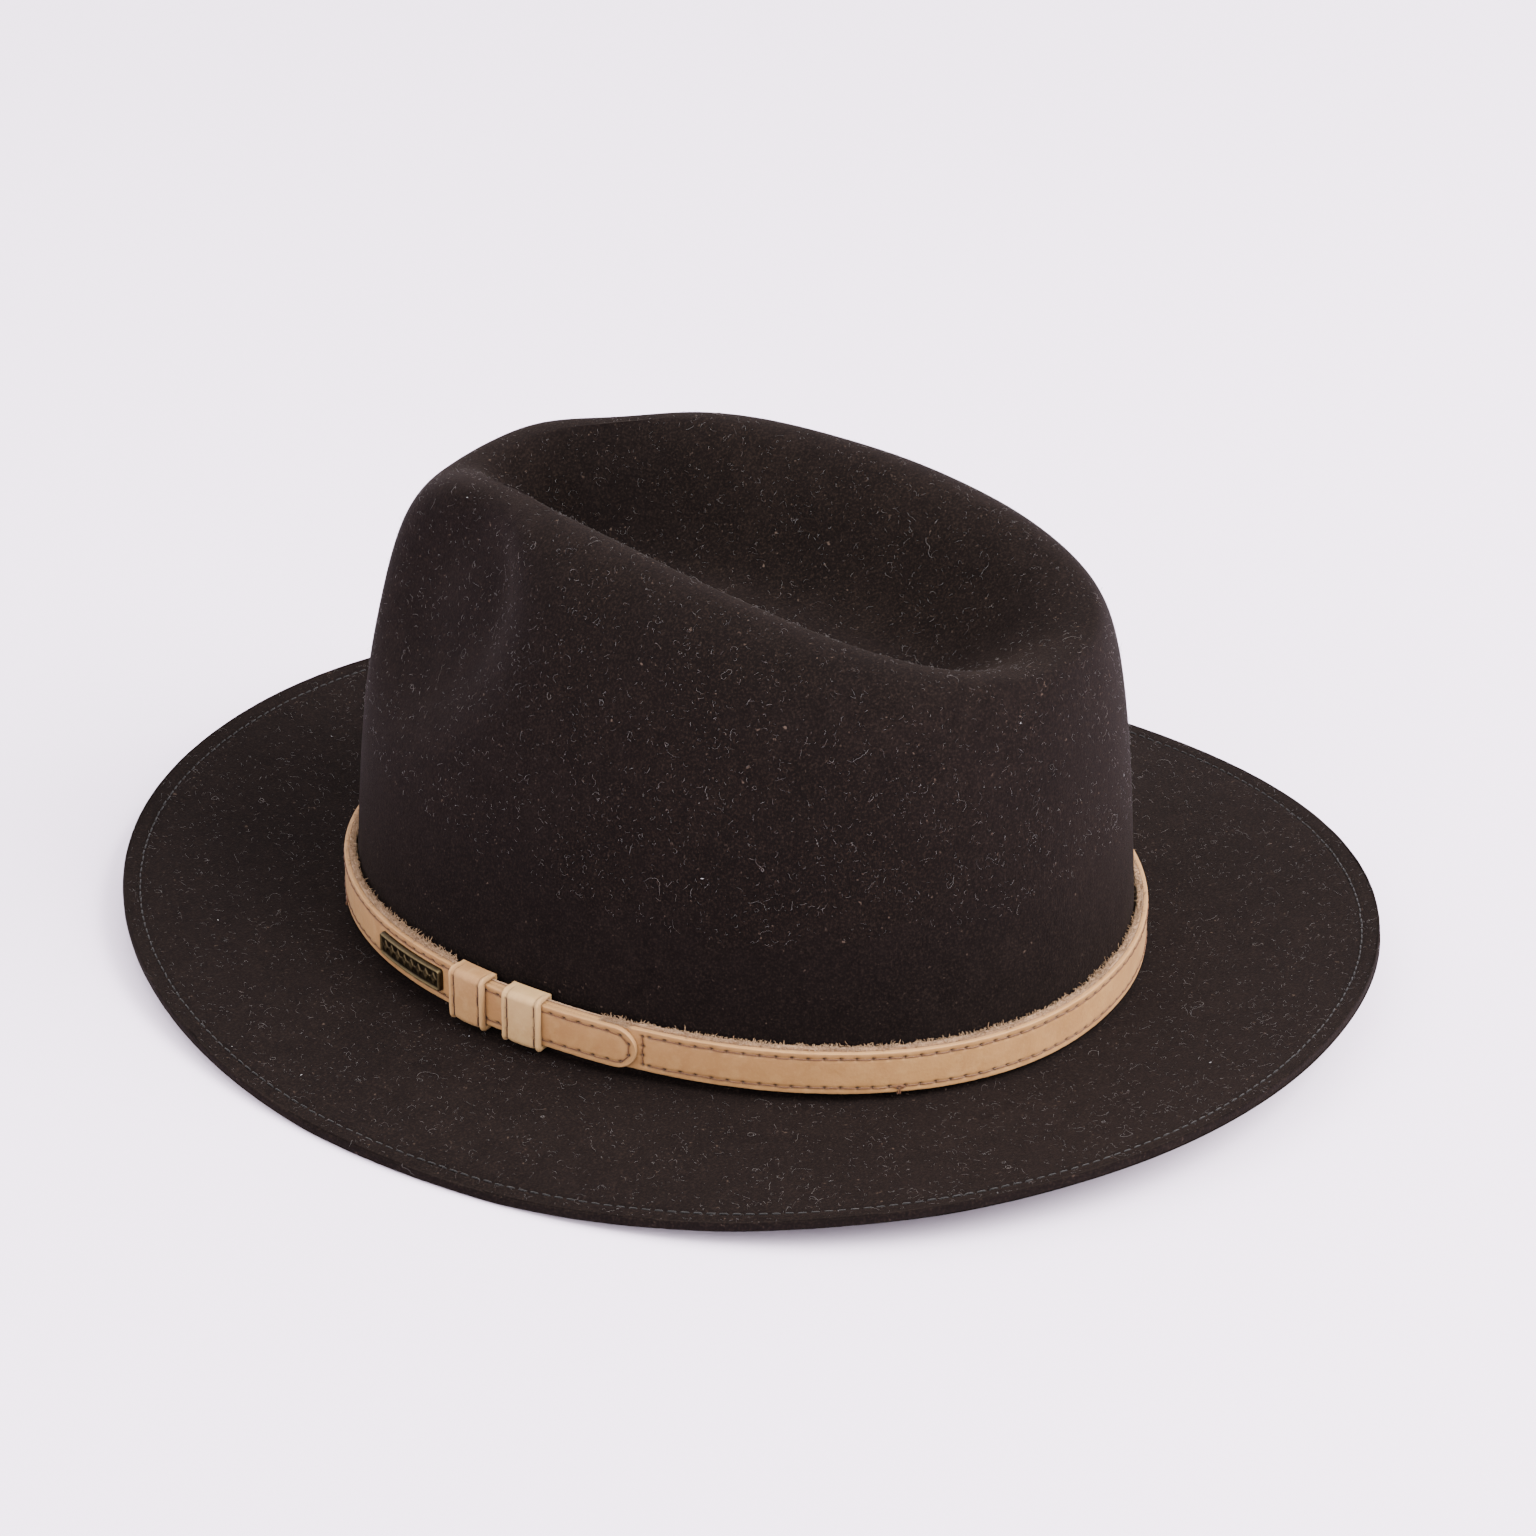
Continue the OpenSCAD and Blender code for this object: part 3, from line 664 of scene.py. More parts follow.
def ring_stitches(fn, nf, count, fill, rise, sink, radius, seed=1, wobble=0.03, slant=0.0):
    """fn(t) gives points, nf(t) the outward normals."""
    tc = (np.arange(count) + 0.5) * 360 / count
    e = 360 / count * 0.5 * fill
    a, b = fn(tc - e), fn(tc + e)
    c = fn(tc)
    al = unit(b - a)
    o = nf(tc)
    if slant:
        side = np.cross(al, o)
        al = unit(al + side * slant)
    return stitch_tubes(c, al, o, np.linalg.norm(b - a, axis=-1), rise, sink, radius, seed=seed, wobble=wobble)


def felt_top(t):
    length = np.linalg.norm(brim(t) - foot(t), axis=-1)
    return surf(t, np.full(t.shape, EDGE_ROW / 60))


def felt_nf(t, u, e=0.3):
    a = surf(t + e, u) - surf(t - e, u)
    b = surf(t, u + 0.005) - surf(t, u - 0.005)
    return unit(np.cross(a, b))


uq = EDGE_ROW / 60
top_n = lambda t: felt_nf(t, np.full(t.shape, uq))
parts = [ring_stitches(lambda t: felt_top(t) - top_n(t) * 0.2, top_n, 322, 0.82, 0.15, 0.3, 0.17, seed=4, wobble=0.05),
         ring_stitches(lambda t: felt_top(t) - top_n(t) * (FELT - 0.2), lambda t: -top_n(t), 322, 0.82, 0.15, 0.3, 0.17, seed=5, wobble=0.05)]
v, f, tr = join(parts)
v[:, 2] = np.maximum(v[:, 2], 0)
add("brim_edge_stitches", v, f, M_FELT_THREAD, "hat", nodes=("brim_edge_stitching",), tris=tr)

# ------------------------------------------------------------------ the strap
DS = 0.45
TIP_C = RING + TIP_S - 5.8
ZR = [1.7, BAND_H - 1.7]
HOLES = []                                   # (arc, z) of every needle hole
PITCH = 4.0
for z in ZR:
    HOLES += [(s, z) for s in np.arange(TIP_S + 3, TIP_C + 0.5, PITCH)]
tip_angles = np.linspace(-90, 90, 5)
last_s = HOLES[-1][0]
ring_holes = [(TIP_C + 4.1 * math.cos(a * RAD), BAND_H / 2 + 4.1 * math.sin(a * RAD)) for a in np.linspace(-66, 66, 4)]
HOLES += ring_holes
short_holes = [(TIP_S + 1.3, z) for z in np.linspace(1.7, BAND_H - 1.7, 4)]
HOLES += short_holes
HOLES = np.array(HOLES)
HOLES += np.random.default_rng(2).normal(0, 0.06, HOLES.shape)


def strap_z(z, s):
    c = np.minimum(tip_cut(s), 5.76)
    return c + z / BAND_H * (BAND_H - 2 * c)


def strap_marks(s, z):
    """Depth pressed in by the stitching, and the painted shade that darkens its holes and grooves, at arc s and height
    z.
    """
    rr = np.hypot(s - TIP_C, z - BAND_H / 2)
    d = np.minimum(np.abs(z - ZR[0]), np.abs(z - ZR[1]))
    d = np.where(s > TIP_C, np.abs(rr - 4.1), d)
    d = np.where(s < TIP_S + 2.5, 9, d)
    short = np.where((np.abs(z - BAND_H / 2) < 4.2) & (s < TIP_S + 6), np.abs(s - TIP_S - 1.3), 9)
    d = np.minimum(d, short)
    groove = np.exp(-(d / 0.5) ** 2)
    hole = np.zeros(s.shape)
    order = np.argsort(HOLES[:, 0])
    H = HOLES[order]
    srow = s[:, 0]
    for k in range(len(srow)):
        lo, hi = np.searchsorted(H[:, 0], [srow[k] - 1.3, srow[k] + 1.3])
        for q in range(lo, hi):
            g = np.exp(-((s[k] - H[q, 0]) ** 2 + (z[k] - H[q, 1]) ** 2) / 0.43 ** 2)
            hole[k] = np.maximum(hole[k], g)
    return groove, hole


def rounded_box(x0, x1, z0, z1, r, nz, nx, nc=4):
    """Profile of a strap, from the inner low corner outwards and round: (x, z, side) with side 1 on the outer face."""
    pts = []
    for x in np.linspace(x0 + r, x1 - r, nx):
        pts.append((x, z0, 0.8))
    for a in np.linspace(-90, 0, nc + 2)[1:-1]:
        pts.append((x1 - r + r * math.cos(a * RAD), z0 + r + r * math.sin(a * RAD), 0.5))
    for z in np.linspace(z0 + r, z1 - r, nz):
        pts.append((x1, z, 0.0))
    for a in np.linspace(0, 90, nc + 2)[1:-1]:
        pts.append((x1 - r + r * math.cos(a * RAD), z1 - r + r * math.sin(a * RAD), 0.5))
    for x in np.linspace(x1 - r, x0 + r, nx):
        pts.append((x, z1, 1.0))
    for z in np.linspace(z1 - 0.1, z0 + 0.1, 5):
        pts.append((x0, z, 0.2))
    return np.array(pts)


def build_strap():
    s = np.concatenate([np.arange(END_S, RING + TIP_S - 5.8, DS), RING + TIP_S - 5.8 + 5.8 * np.sin(np.linspace(0, 90, 22) * RAD)])
    prof = rounded_box(0, FACE_T, 0, BAND_H, 0.32, 46, 4)
    S = np.broadcast_to(s[:, None], (len(s), len(prof)))
    x = np.broadcast_to(prof[None, :, 0], S.shape).copy()
    z = strap_z(np.broadcast_to(prof[None, :, 1], S.shape), S)
    face = np.broadcast_to(prof[None, :, 2] == 0.0, S.shape)
    groove, hole = strap_marks(S, z)
    edge = np.broadcast_to(np.where(prof[:, 2] >= 0.5, 0.8, 0.0)[None], S.shape).copy()
    # the rim outside each row is pinched thinner by the thread, and the tip's cut edge stands up a little
    rr = np.hypot(np.maximum(S - TIP_C, 0), z - BAND_H / 2)
    near = np.clip(1 - np.minimum(np.minimum(z, BAND_H - z), np.where(S > TIP_C, np.maximum(5.8 - rr, 0), 9)) / 0.75, 0, 1)
    tip_lift = ramp(S, TIP_C - 1, TIP_C + 3)
    edge = np.maximum(edge, near * 0.2 + near * tip_lift * 0.7)
    wob = field(S * 1.0, z, 0 * z, 21, 5.5) * 0.05 + field(S * 1.0, z * 0.5, 0 * z, 22, 16) * 0.05
    fx = -0.13 * groove - 0.5 * hole + wob + 0.16 * near * tip_lift
    x = np.where(face, x + fx, x)
    z = z + np.where(edge > 0.4, 0.07 * field(S, x * 4, 0 * z, 5, 3.0), 0)
    # painted shade: the needle holes and the grooves along the stitch rows are darkened
    dark = np.where(face, np.clip(hole * 1.15, 0, 1) + 0.24 * groove, 0)
    off = BACK_OUT + step_out(S) + x
    v = on_band(S, off, z)
    m, n = S.shape
    q = grid(m, n, wrap_n=True)
    caps = []
    c0 = v[0].mean(0)
    c1 = v[-1].mean(0)
    vv = np.concatenate([v.reshape(-1, 3), c0[None], c1[None]])
    j = np.arange(n)
    t0 = np.stack([(j + 1) % n, j, np.full(n, m * n)], -1)
    t1 = np.stack([(m - 1) * n + j, (m - 1) * n + (j + 1) % n, np.full(n, m * n + 1)], -1)
    at = {"edge": np.concatenate([edge.ravel(), [1, 1]]), "shade_and_patina": np.concatenate([np.clip(dark.ravel(), 0, 1), [0, 0]])}
    return add("strap_face", vv, q, M_LEATHER, "hat", attrs=at, nodes=("band_face",), tris=np.concatenate([t0, t1]))


strap = build_strap()


def clear_of_keepers(s):
    # true outside the stretch that the two keepers cover or slide over
    m = np.mod(s, RING)
    return (m < KEEPER_F - 8) | (m > KEEPER_R + 21.2)


def build_backing():
    s = np.arange(END_S, RING + END_S - 0.3, 0.9)
    pr = [(0, 0.1), (0.5, 0.05), (1, 0.1)] + [(1, z) for z in np.linspace(0.6, BAND_H - 0.2, 8)] + \
         [(1, BAND_H + 0.1), (0.92, BAND_H + 0.34), (0.75, BAND_H + 0.42), (0.58, BAND_H + 0.36), (0.4, BAND_H + 0.42), (0.2, BAND_H + 0.36), (0.04, BAND_H + 0.16)] + \
         [(0, z) for z in np.linspace(BAND_H - 0.3, 0.6, 7)]
    pr = np.array(pr)
    S = np.broadcast_to(s[:, None], (len(s), len(pr)))
    a = pared(S)
    x = a + (BACK_OUT - 0.03 - a) * pr[None, :, 0]
    z = np.broadcast_to(pr[None, :, 1], S.shape).copy()
    topm = z > BAND_H
    z = z + np.where(topm, 0.16 * field(S, x * 3, 0 * x, 31, 2.3) + 0.18 * field(S, x, 0 * x, 32, 11), 0)
    z = np.where(clear_of_keepers(S), z, np.minimum(z, BAND_H + 0.2))
    v = on_band(S, x, z)
    m, n = S.shape
    j = np.arange(n)
    vv = np.concatenate([v.reshape(-1, 3), v[0].mean(0)[None], v[-1].mean(0)[None]])
    t0 = np.stack([(j + 1) % n, j, np.full(n, m * n)], -1)
    t1 = np.stack([(m - 1) * n + j, (m - 1) * n + (j + 1) % n, np.full(n, m * n + 1)], -1)
    return add("strap_backing", vv, grid(m, n, wrap_n=True), M_SUEDE, "hat", nodes=("band_backing",), tris=np.concatenate([t0, t1]))


build_backing()


def thread_between(h0, h1, rise=0.03, sink=0.3, radius=0.17, seed=1, base=None, body_fn=None):
    """Threads from needle hole h0 to h1, arrays (N,2) of (arc, z), on the strap's outer face."""
    g = np.random.default_rng(seed)
    x = np.linspace(0, 1, 9)
    c = h0[:, None] + (h1 - h0)[:, None] * x[None, :, None]
    d = unit(h1 - h0)
    side = np.stack([-d[:, 1], d[:, 0]], -1)
    c = c + side[:, None] * (g.normal(0, 0.05, (len(h0), 1)) + 0.10 * np.sin(x * math.pi)[None] * g.choice([-1, 1], (len(h0), 1)))[..., None]
    e = np.abs(2 * x - 1)
    prof = rise * (1 - e ** 4) - sink * e ** 8
    off = FACE_OUT + step_out(c[..., 0]) + prof[None]
    p = on_band(c[..., 0], off, c[..., 1])
    return tubes(p, radius, 5)


def rows_of(z):
    a = HOLES[(np.abs(HOLES[:, 1] - z) < 0.4) & (HOLES[:, 0] > TIP_S + 2.6) & (HOLES[:, 0] < TIP_C + 0.6)]
    a = a[np.argsort(a[:, 0])]
    return a[:-1], a[1:]


for name, z, node, sd in (("strap_stitches_low", ZR[0], "band_stitching_lower", 3), ("strap_stitches_high", ZR[1], "band_stitching_upper", 4)):
    a, b = rows_of(z)
    v, f, tr = thread_between(a, b, seed=sd)
    add(name, v, f, M_THREAD, "hat", nodes=(node,), tris=tr)
end_lo = rows_of(ZR[0])[1][-1]
end_hi = rows_of(ZR[1])[1][-1]
chain = np.array([end_lo] + list(HOLES[len(HOLES) - 8:len(HOLES) - 4]) + [end_hi])
short = HOLES[-4:]
v, f, tr = thread_between(np.concatenate([chain[:-1], short[:-1]]), np.concatenate([chain[1:], short[1:]]), seed=8)
add("strap_end_stitches", v, f, M_THREAD, "hat", nodes=("band_end_stitching",), tris=tr)


# ---- suede fibres along the cut edge
def fibres(base, up, spread, length, radius, seg=5, seed=1, curl=0.9, sides=3):
    """Curly fibres from points base (N,3), leaning along up with a random spread."""
    g = np.random.default_rng(seed)
    n = len(base)
    d = unit(up + g.normal(0, spread, (n, 3)))
    p = [base]
    L = (np.asarray(length).reshape(-1, 1) if np.ndim(length) else np.full((n, 1), length)) / (seg - 1)
    for k in range(seg - 1):
        d = unit(d + g.normal(0, curl / (seg - 1) ** 0.5, (n, 3)))
        p.append(p[-1] + d * L)
    return tubes(np.stack(p, 1), np.asarray(radius).reshape(-1, 1) if np.ndim(radius) else radius, sides)


def strap_fuzz():
    g = np.random.default_rng(41)
    n = 14500
    clump = g.uniform(END_S, RING + END_S, n // 5)
    s = np.concatenate([g.uniform(END_S, RING + END_S, n - 3 * len(clump)), np.repeat(clump, 3) + g.normal(0, 0.16, 3 * len(clump))])
    dens = field(s, 0 * s, 0 * s, 42, 21)
    x0 = pared(s)
    off = x0 + (BACK_OUT - x0) * g.uniform(0.02, 1.0, len(s))
    ln = g.gamma(3.2, 0.27, len(s)) * (1 + 0.5 * dens)
    sm = np.mod(s, RING)
    ln = np.where((sm > 92) & (sm < 128), ln * 1.35, ln)
    ln = np.clip(ln, 0.25, 2.1)
    keep = clear_of_keepers(s)
    s, off, ln, x0 = s[keep], off[keep], ln[keep], x0[keep]
    base = on_band(s, off, BAND_H + 0.25 + 0 * s)
    t = t_at(s)
    out = np.concatenate([nrm(t), 0 * t[:, None]], -1)
    lean_out = (off - x0) / (BACK_OUT - x0) - 0.45
    up = np.array([0, 0, 1.0]) + out * lean_out[:, None] * 0.8
    a = fibres(base, up, 0.5, ln, g.uniform(0.045, 0.095, len(s)), seed=43, curl=1.3)
    # fibres on the doubled stretch by the tip, where the hidden end's edge shows too
    m = 1500
    s2 = g.uniform(RING + 168.6, RING + TIP_S - 1.5, m)
    off2 = g.uniform(BACK_OUT, FACE_OUT, m)
    b = fibres(on_band(s2, off2, BAND_H + 0.02 - tip_cut(s2) * 0.3), np.array([0, 0, 1.0]) + 0 * s2[:, None], 0.5, np.clip(g.gamma(3, 0.16, m), 0.12, 1.0), g.uniform(0.035, 0.065, m), seed=44, curl=1.1)
    # a few at the lower edge
    m = 900
    s3 = g.uniform(END_S, RING + END_S, m)
    s3 = s3[clear_of_keepers(s3)]
    m = len(s3)
    c = fibres(on_band(s3, pared(s3) + (BACK_OUT - pared(s3)) * g.uniform(0.3, 1, m), 0.12 + 0 * s3), np.array([0, 0, -0.4]) + np.concatenate([nrm(t_at(s3)), 0 * s3[:, None]], -1), 0.5,
               np.clip(g.gamma(2, 0.13, m), 0.1, 0.6), 0.04, seed=45)
    v, f, tr = join([a, b, c])
    return add("strap_suede_fibres", v, f, M_FUZZ, "hat", tris=tr)


strap_fuzz()

# ------------------------------------------------------------------ keepers


def keeper(name, s, m, w, mat, body, node, thread_node, seed):
    R = fit_span(m, w)
    M = travel_frame(s, m, R)
    g = np.random.default_rng(seed)
    hz = (BAND_H + 2.8) / 2
    x_in, x_out = FACE_OUT + FACE_T + 0.4, FACE_OUT + FACE_T + 0.4 + KEEPER_T
    # outer and inner loop, from the back at the bottom, round the front and over the top
    def loop(x0, x1, zh, rb, rf, nb, nf, nc):
        p = []
        for z in np.linspace(0, -zh + rb, nb)[:-1]:
            p.append((x0, z))
        for a in np.linspace(180, 270, 4):
            p.append((x0 + rb + rb * math.cos(a * RAD), -zh + rb + rb * math.sin(a * RAD)))
        for x in np.linspace(x0 + rb, x1 - rf, 8)[1:-1]:
            p.append((x, -zh))
        for a in np.linspace(270, 360, nc):
            p.append((x1 - rf + rf * math.cos(a * RAD), -zh + rf + rf * math.sin(a * RAD)))
        for z in np.linspace(-zh + rf, zh - rf, nf)[1:-1]:
            p.append((x1, z))
        for a in np.linspace(0, 90, nc):
            p.append((x1 - rf + rf * math.cos(a * RAD), zh - rf + rf * math.sin(a * RAD)))
        for x in np.linspace(x1 - rf, x0 + rb, 8)[1:-1]:
            p.append((x, zh))
        for a in np.linspace(90, 180, 4):
            p.append((x0 + rb + rb * math.cos(a * RAD), zh - rb + rb * math.sin(a * RAD)))
        for z in np.linspace(zh - rb, 0, nb)[1:-1]:
            p.append((x0, z))
        return np.array(p)
    nf = 44
    O = loop(0.3, x_out, hz, 0.45, 1.75, 8, nf, 12)
    I = loop(0.9, x_in, hz - 0.98, 0.2, 0.5, 8, nf, 12)
    d = unit(O - I)
    tg = unit(np.roll(O, -1, 0) - np.roll(O, 1, 0))
    no = np.stack([tg[:, 1] * -1, tg[:, 0]], -1)
    no = np.where((np.sum(no * d, -1) < 0)[:, None], -no, no)
    front = ramp(O[:, 0], 1.2, 3.2)
    # across the width: outer face with raised rolled edges and a furrow under each thread row
    nw = 61
    wrow = np.linspace(-1, 1, nw)
    yy = wrow * KEEPER_W / 2
    ay = np.abs(yy)
    roll = 0.42 * np.exp(-((ay - (KEEPER_W / 2 - 0.62)) / 0.5) ** 2)
    furrow = -0.30 * np.exp(-((ay - (KEEPER_W / 2 - 1.6)) / 0.34) ** 2)
    pillow = 0.16 * np.clip(1 - (ay / 3.6) ** 2, 0, 1)
    drop = -0.55 * np.clip((ay - (KEEPER_W / 2 - 0.42)) / 0.42, 0, 1) ** 2
    h = roll + furrow + pillow + drop
    W, L = np.meshgrid(yy, np.arange(len(O)), indexing="xy")
    bumpy = 0.05 * field(W * 1.2, L * 0.25, 0 * W, seed, 2.8) + 0.045 * field(W, L * 0.3, 0 * W, seed + 1, 6.0)
    hgt = (h[None] + bumpy) * front[:, None] + 0.0
    outer = O[:, None, :] + no[:, None, :] * hgt[..., None]
    inner_w = np.linspace(1, -1, 7)
    wob = 0.14 * field(O[:, 1] * 1.3 + O[:, 0], O[:, 0], 0 * O[:, 0], seed + 5, 9.0)
    yo = np.broadcast_to(yy[None], outer.shape[:2]) + (wob[:, None] + 0.10 * field(L * 0.35, W * 0.1, 0 * W, seed + 3, 4.0)) * (wrow[None] ** 3) * 0.7
    yi = np.broadcast_to((inner_w * (KEEPER_W / 2 - 0.12))[None], (len(O), 7))
    inn = np.broadcast_to(I[:, None, :], (len(O), 7, 2))
    xy = np.concatenate([outer, inn], 1)
    ys = np.concatenate([yo, yi], 1)
    v = place(M, bent(R, xy[..., 0], ys, xy[..., 1], x_out))
    e = np.clip((ay - (KEEPER_W / 2 - 1.15)) / 0.4, 0, 1)
    edge = np.concatenate([np.broadcast_to(e[None], (len(O), nw)), np.full((len(O), 7), 0.4)], 1)
    # needle holes and the thread furrows, darkened with painted shade
    zc = np.arange(-hz + 1.0, hz - 0.9, 2.9)
    shade_and_patina = np.zeros(edge.shape)
    z_outer = O[:, 1]
    for sg in (-1, 1):
        for z in zc:
            dd = np.exp(-((yy[None] - sg * (KEEPER_W / 2 - 1.6)) ** 2 + (z_outer[:, None] - z) ** 2) / 0.4 ** 2) * front[:, None]
            shade_and_patina[:, :nw] = np.maximum(shade_and_patina[:, :nw], dd * 0.8)
    shade_and_patina[:, :nw] = np.maximum(shade_and_patina[:, :nw], 0.42 * np.exp(-((ay - (KEEPER_W / 2 - 1.6)) / 0.2) ** 2)[None] * front[:, None])
    m_, n_ = v.shape[:2]
    add(name, v.reshape(-1, 3), grid(m_, n_, wrap_m=True, wrap_n=True, flip=True), mat, body, attrs={"edge": edge.ravel(), "shade_and_patina": shade_and_patina.ravel()}, nodes=(node,))
    # thread
    parts = []
    for sg in (-1, 1):
        path = []
        for z0, z1 in zip(zc[:-1], zc[1:]):
            x = np.linspace(0, 1, 8)
            z = z0 + (z1 - z0) * x
            ee = np.abs(2 * x - 1)
            off = np.interp(z, O[len(O) // 2 - nf // 2 - 6:len(O) // 2 + nf // 2 + 6, 1], O[len(O) // 2 - nf // 2 - 6:len(O) // 2 + nf // 2 + 6, 0])
            xx = off - 0.30 + 0.14 + 0.03 * (1 - ee ** 4) - 0.22 * ee ** 8
            yk = sg * (KEEPER_W / 2 - 1.6) + g.normal(0, 0.05) + 0.14 * np.sin(x * math.pi) * g.choice([-1, 1])
            path.append(place(M, bent(R, xx, yk + 0 * z, z, x_out)))
        parts.append(tubes(np.array(path), 0.19, 5))
    v, f, tr = join(parts)
    add(name + "_stitches", v, f, M_THREAD_DARK, body, nodes=(thread_node,), tris=tr)


keeper("keeper_loop_front", KEEPER_F, KEEPER_F, 7, M_KEEPER_F, "keeper_front", "keeper_front", "keeper_front_stitching", 51)
keeper("keeper_loop_rear", KEEPER_R, RING / 4, 13, M_KEEPER_R, "keeper_rear", "keeper_rear", "keeper_rear_stitching", 61)


# ------------------------------------------------------------------ the plate
def name_plate():
    R = fit_span(PLATE_S, 10)
    M = strap_frame(PLATE_S)
    st = 0.11
    ny, nz = int(PLATE_W / st) + 1, int(PLATE_H / st) + 1
    y = np.linspace(-PLATE_W / 2, PLATE_W / 2, ny)
    z = np.linspace(-PLATE_H / 2, PLATE_H / 2, nz)
    Y, Z = np.meshgrid(y, z, indexing="ij")
    # rounded corners: pull the grid in at the corners
    rc = 0.9
    cy, cz = np.maximum(np.abs(Y) - (PLATE_W / 2 - rc), 0), np.maximum(np.abs(Z) - (PLATE_H / 2 - rc), 0)
    dist_edge = np.where((cy > 0) & (cz > 0), rc - np.hypot(cy, cz), np.minimum(PLATE_W / 2 - np.abs(Y), PLATE_H / 2 - np.abs(Z)))
    k = np.where((cy > 0) & (cz > 0) & (np.hypot(cy, cz) > rc), rc / np.maximum(np.hypot(cy, cz), 1e-6), 1)
    Yp = np.sign(Y) * (np.abs(Y) - cy + cy * k)
    Zp = np.sign(Z) * (np.abs(Z) - cz + cz * k)
    de = np.maximum(dist_edge, 0)
    rim = 0.52 * (ramp(de, 0.02, 0.34) - ramp(de, 0.62, 1.0))
    inside = ramp(de, 1.0, 1.25)
    # a plain repeating relief: diamonds with a bead between
    per = 3.0
    u = ((Y + per * 50) % per) / per - 0.5
    dia = np.clip(0.34 - np.abs(np.abs(u) * 1.9 + np.abs(Z) / 2.6 - 0.42), 0, 0.2) / 0.2
    bead = np.clip(1 - np.hypot((np.abs(u) - 0.5) * per, np.abs(Z) - 0.0) / 0.42, 0, 1)
    bead2 = np.clip(1 - np.hypot(u * per, Z) / 0.36, 0, 1)
    rel = np.maximum(np.maximum(dia, bead ** 0.5), bead2 ** 0.5) * 0.24 * inside
    relief = rel + rim + 0.02 * field(Y, Z, 0 * Y, 71, 1.1)
    x = FACE_OUT + 0.98 - 0.25 * (1 - ramp(de, 0, 0.3)) + relief
    worn = np.clip(rim / 0.52, 0, 1) ** 2 * 0.75 + rel / 0.24 * 0.38
    shade_and_patina = np.clip(inside * (1 - rel / 0.24) * 0.38 + 0.8 * np.exp(-((de - 1.08) / 0.14) ** 2), 0, 1)
    top = bent(R, x, Yp, Zp, FACE_OUT)
    # skirt down to the leather
    ring_i = np.concatenate([np.stack([np.arange(ny), np.zeros(ny, int)], -1), np.stack([np.full(nz - 1, ny - 1), np.arange(1, nz)], -1),
                             np.stack([np.arange(ny - 2, -1, -1), np.full(ny - 1, nz - 1)], -1), np.stack([np.zeros(nz - 2, int), np.arange(nz - 2, 0, -1)], -1)])
    nr = len(ring_i)
    ry, rz = Yp[ring_i[:, 0], ring_i[:, 1]], Zp[ring_i[:, 0], ring_i[:, 1]]
    sk = [bent(R, FACE_OUT + xx + 0 * ry, ry, rz, FACE_OUT) for xx in (0.55, 0.03)]
    v = np.concatenate([top.reshape(-1, 3), sk[0], sk[1], bent(R, np.array([FACE_OUT + 0.03]), np.array([0.0]), np.array([0.0]), FACE_OUT)])
    q = grid(ny, nz, flip=True)
    b0 = ny * nz
    ri = ring_i[:, 0] * nz + ring_i[:, 1]
    j = np.arange(nr)
    jn = (j + 1) % nr
    q2 = np.stack([ri[j], ri[jn], b0 + jn, b0 + j], -1)[:, ::-1]
    q3 = np.stack([b0 + j, b0 + jn, b0 + nr + jn, b0 + nr + j], -1)[:, ::-1]
    tri = np.stack([b0 + nr + j, b0 + nr + jn, np.full(nr, len(v) - 1)], -1)[:, ::-1]
    wv = np.concatenate([worn.ravel(), np.full(nr, 0.2), np.zeros(nr), [0]])
    dv = np.concatenate([shade_and_patina.ravel(), np.full(nr, 0.3), np.full(nr, 0.8), [1]])
    parts = [(place(M, v), np.concatenate([q, q2, q3]), tri)]
    # the two prongs
    pr = []
    for sg in (-1, 1):
        a = np.linspace(0, 1, 5)
        yy = np.full(5, sg * 9.0)
        pr.append(place(M, bent(R, 0.5 + a * (FACE_OUT - 0.4), yy, 0 * yy, 3.0)))
    parts.append(tubes(np.array(pr), 0.6, 4, shrink=False))
    V, F, TR = join(parts)
    pad = len(V) - len(wv)
    add("plate_antique", V, F, M_BRASS, "hat", attrs={"worn": np.concatenate([wv, np.zeros(pad)]), "shade_and_patina": np.concatenate([dv, np.ones(pad)])}, nodes=("name_plate",), tris=TR)


name_plate()


# ------------------------------------------------------------------ thread tacks
def tacks():
    parts = []
    g = np.random.default_rng(81)
    for i, s in enumerate((244.0, RING / 2 + 70, RING - 80, 60.0)):
        # from the crown, under the strap's lower edge and up over it
        x = np.linspace(0, 1, 14)
        for k in range(2):
            ds = (k - 0.5) * 0.5
            off = np.interp(x, [0, 0.45, 0.62, 0.8, 1], [-1.0, FACE_OUT + 0.05, FACE_OUT + 0.42, FACE_OUT + 0.25, FACE_OUT - 0.25])
            z = np.interp(x, [0, 0.45, 0.62, 0.8, 1], [-0.5, -0.42, -0.1, 0.7, 1.25])
            parts.append(tubes(on_band(s + ds + 0.5 * x, off, z)[None], 0.16, 5))
        # a small knot on the leather
        for k in range(3):
            a = np.linspace(0, 2 * math.pi, 13) + g.uniform(0, 6)
            rr = 0.55 + 0.12 * k
            p = on_band(s + 0.6 + rr * 1.3 * np.cos(a) * (1 + 0.1 * k), FACE_OUT + 0.16 + 0.10 * np.sin(a * 2 + k), 1.55 + rr * 0.55 * np.sin(a))
            parts.append(tubes(p[None], 0.15, 5, shrink=False))
    v, f, tr = join(parts)
    add("strap_tacks", v, f, M_THREAD, "hat", nodes=("band_tacks",), tris=tr)


tacks()


# ------------------------------------------------------------------ inside the hat
def in_z(t):
    return foot_z(t) - 2.2


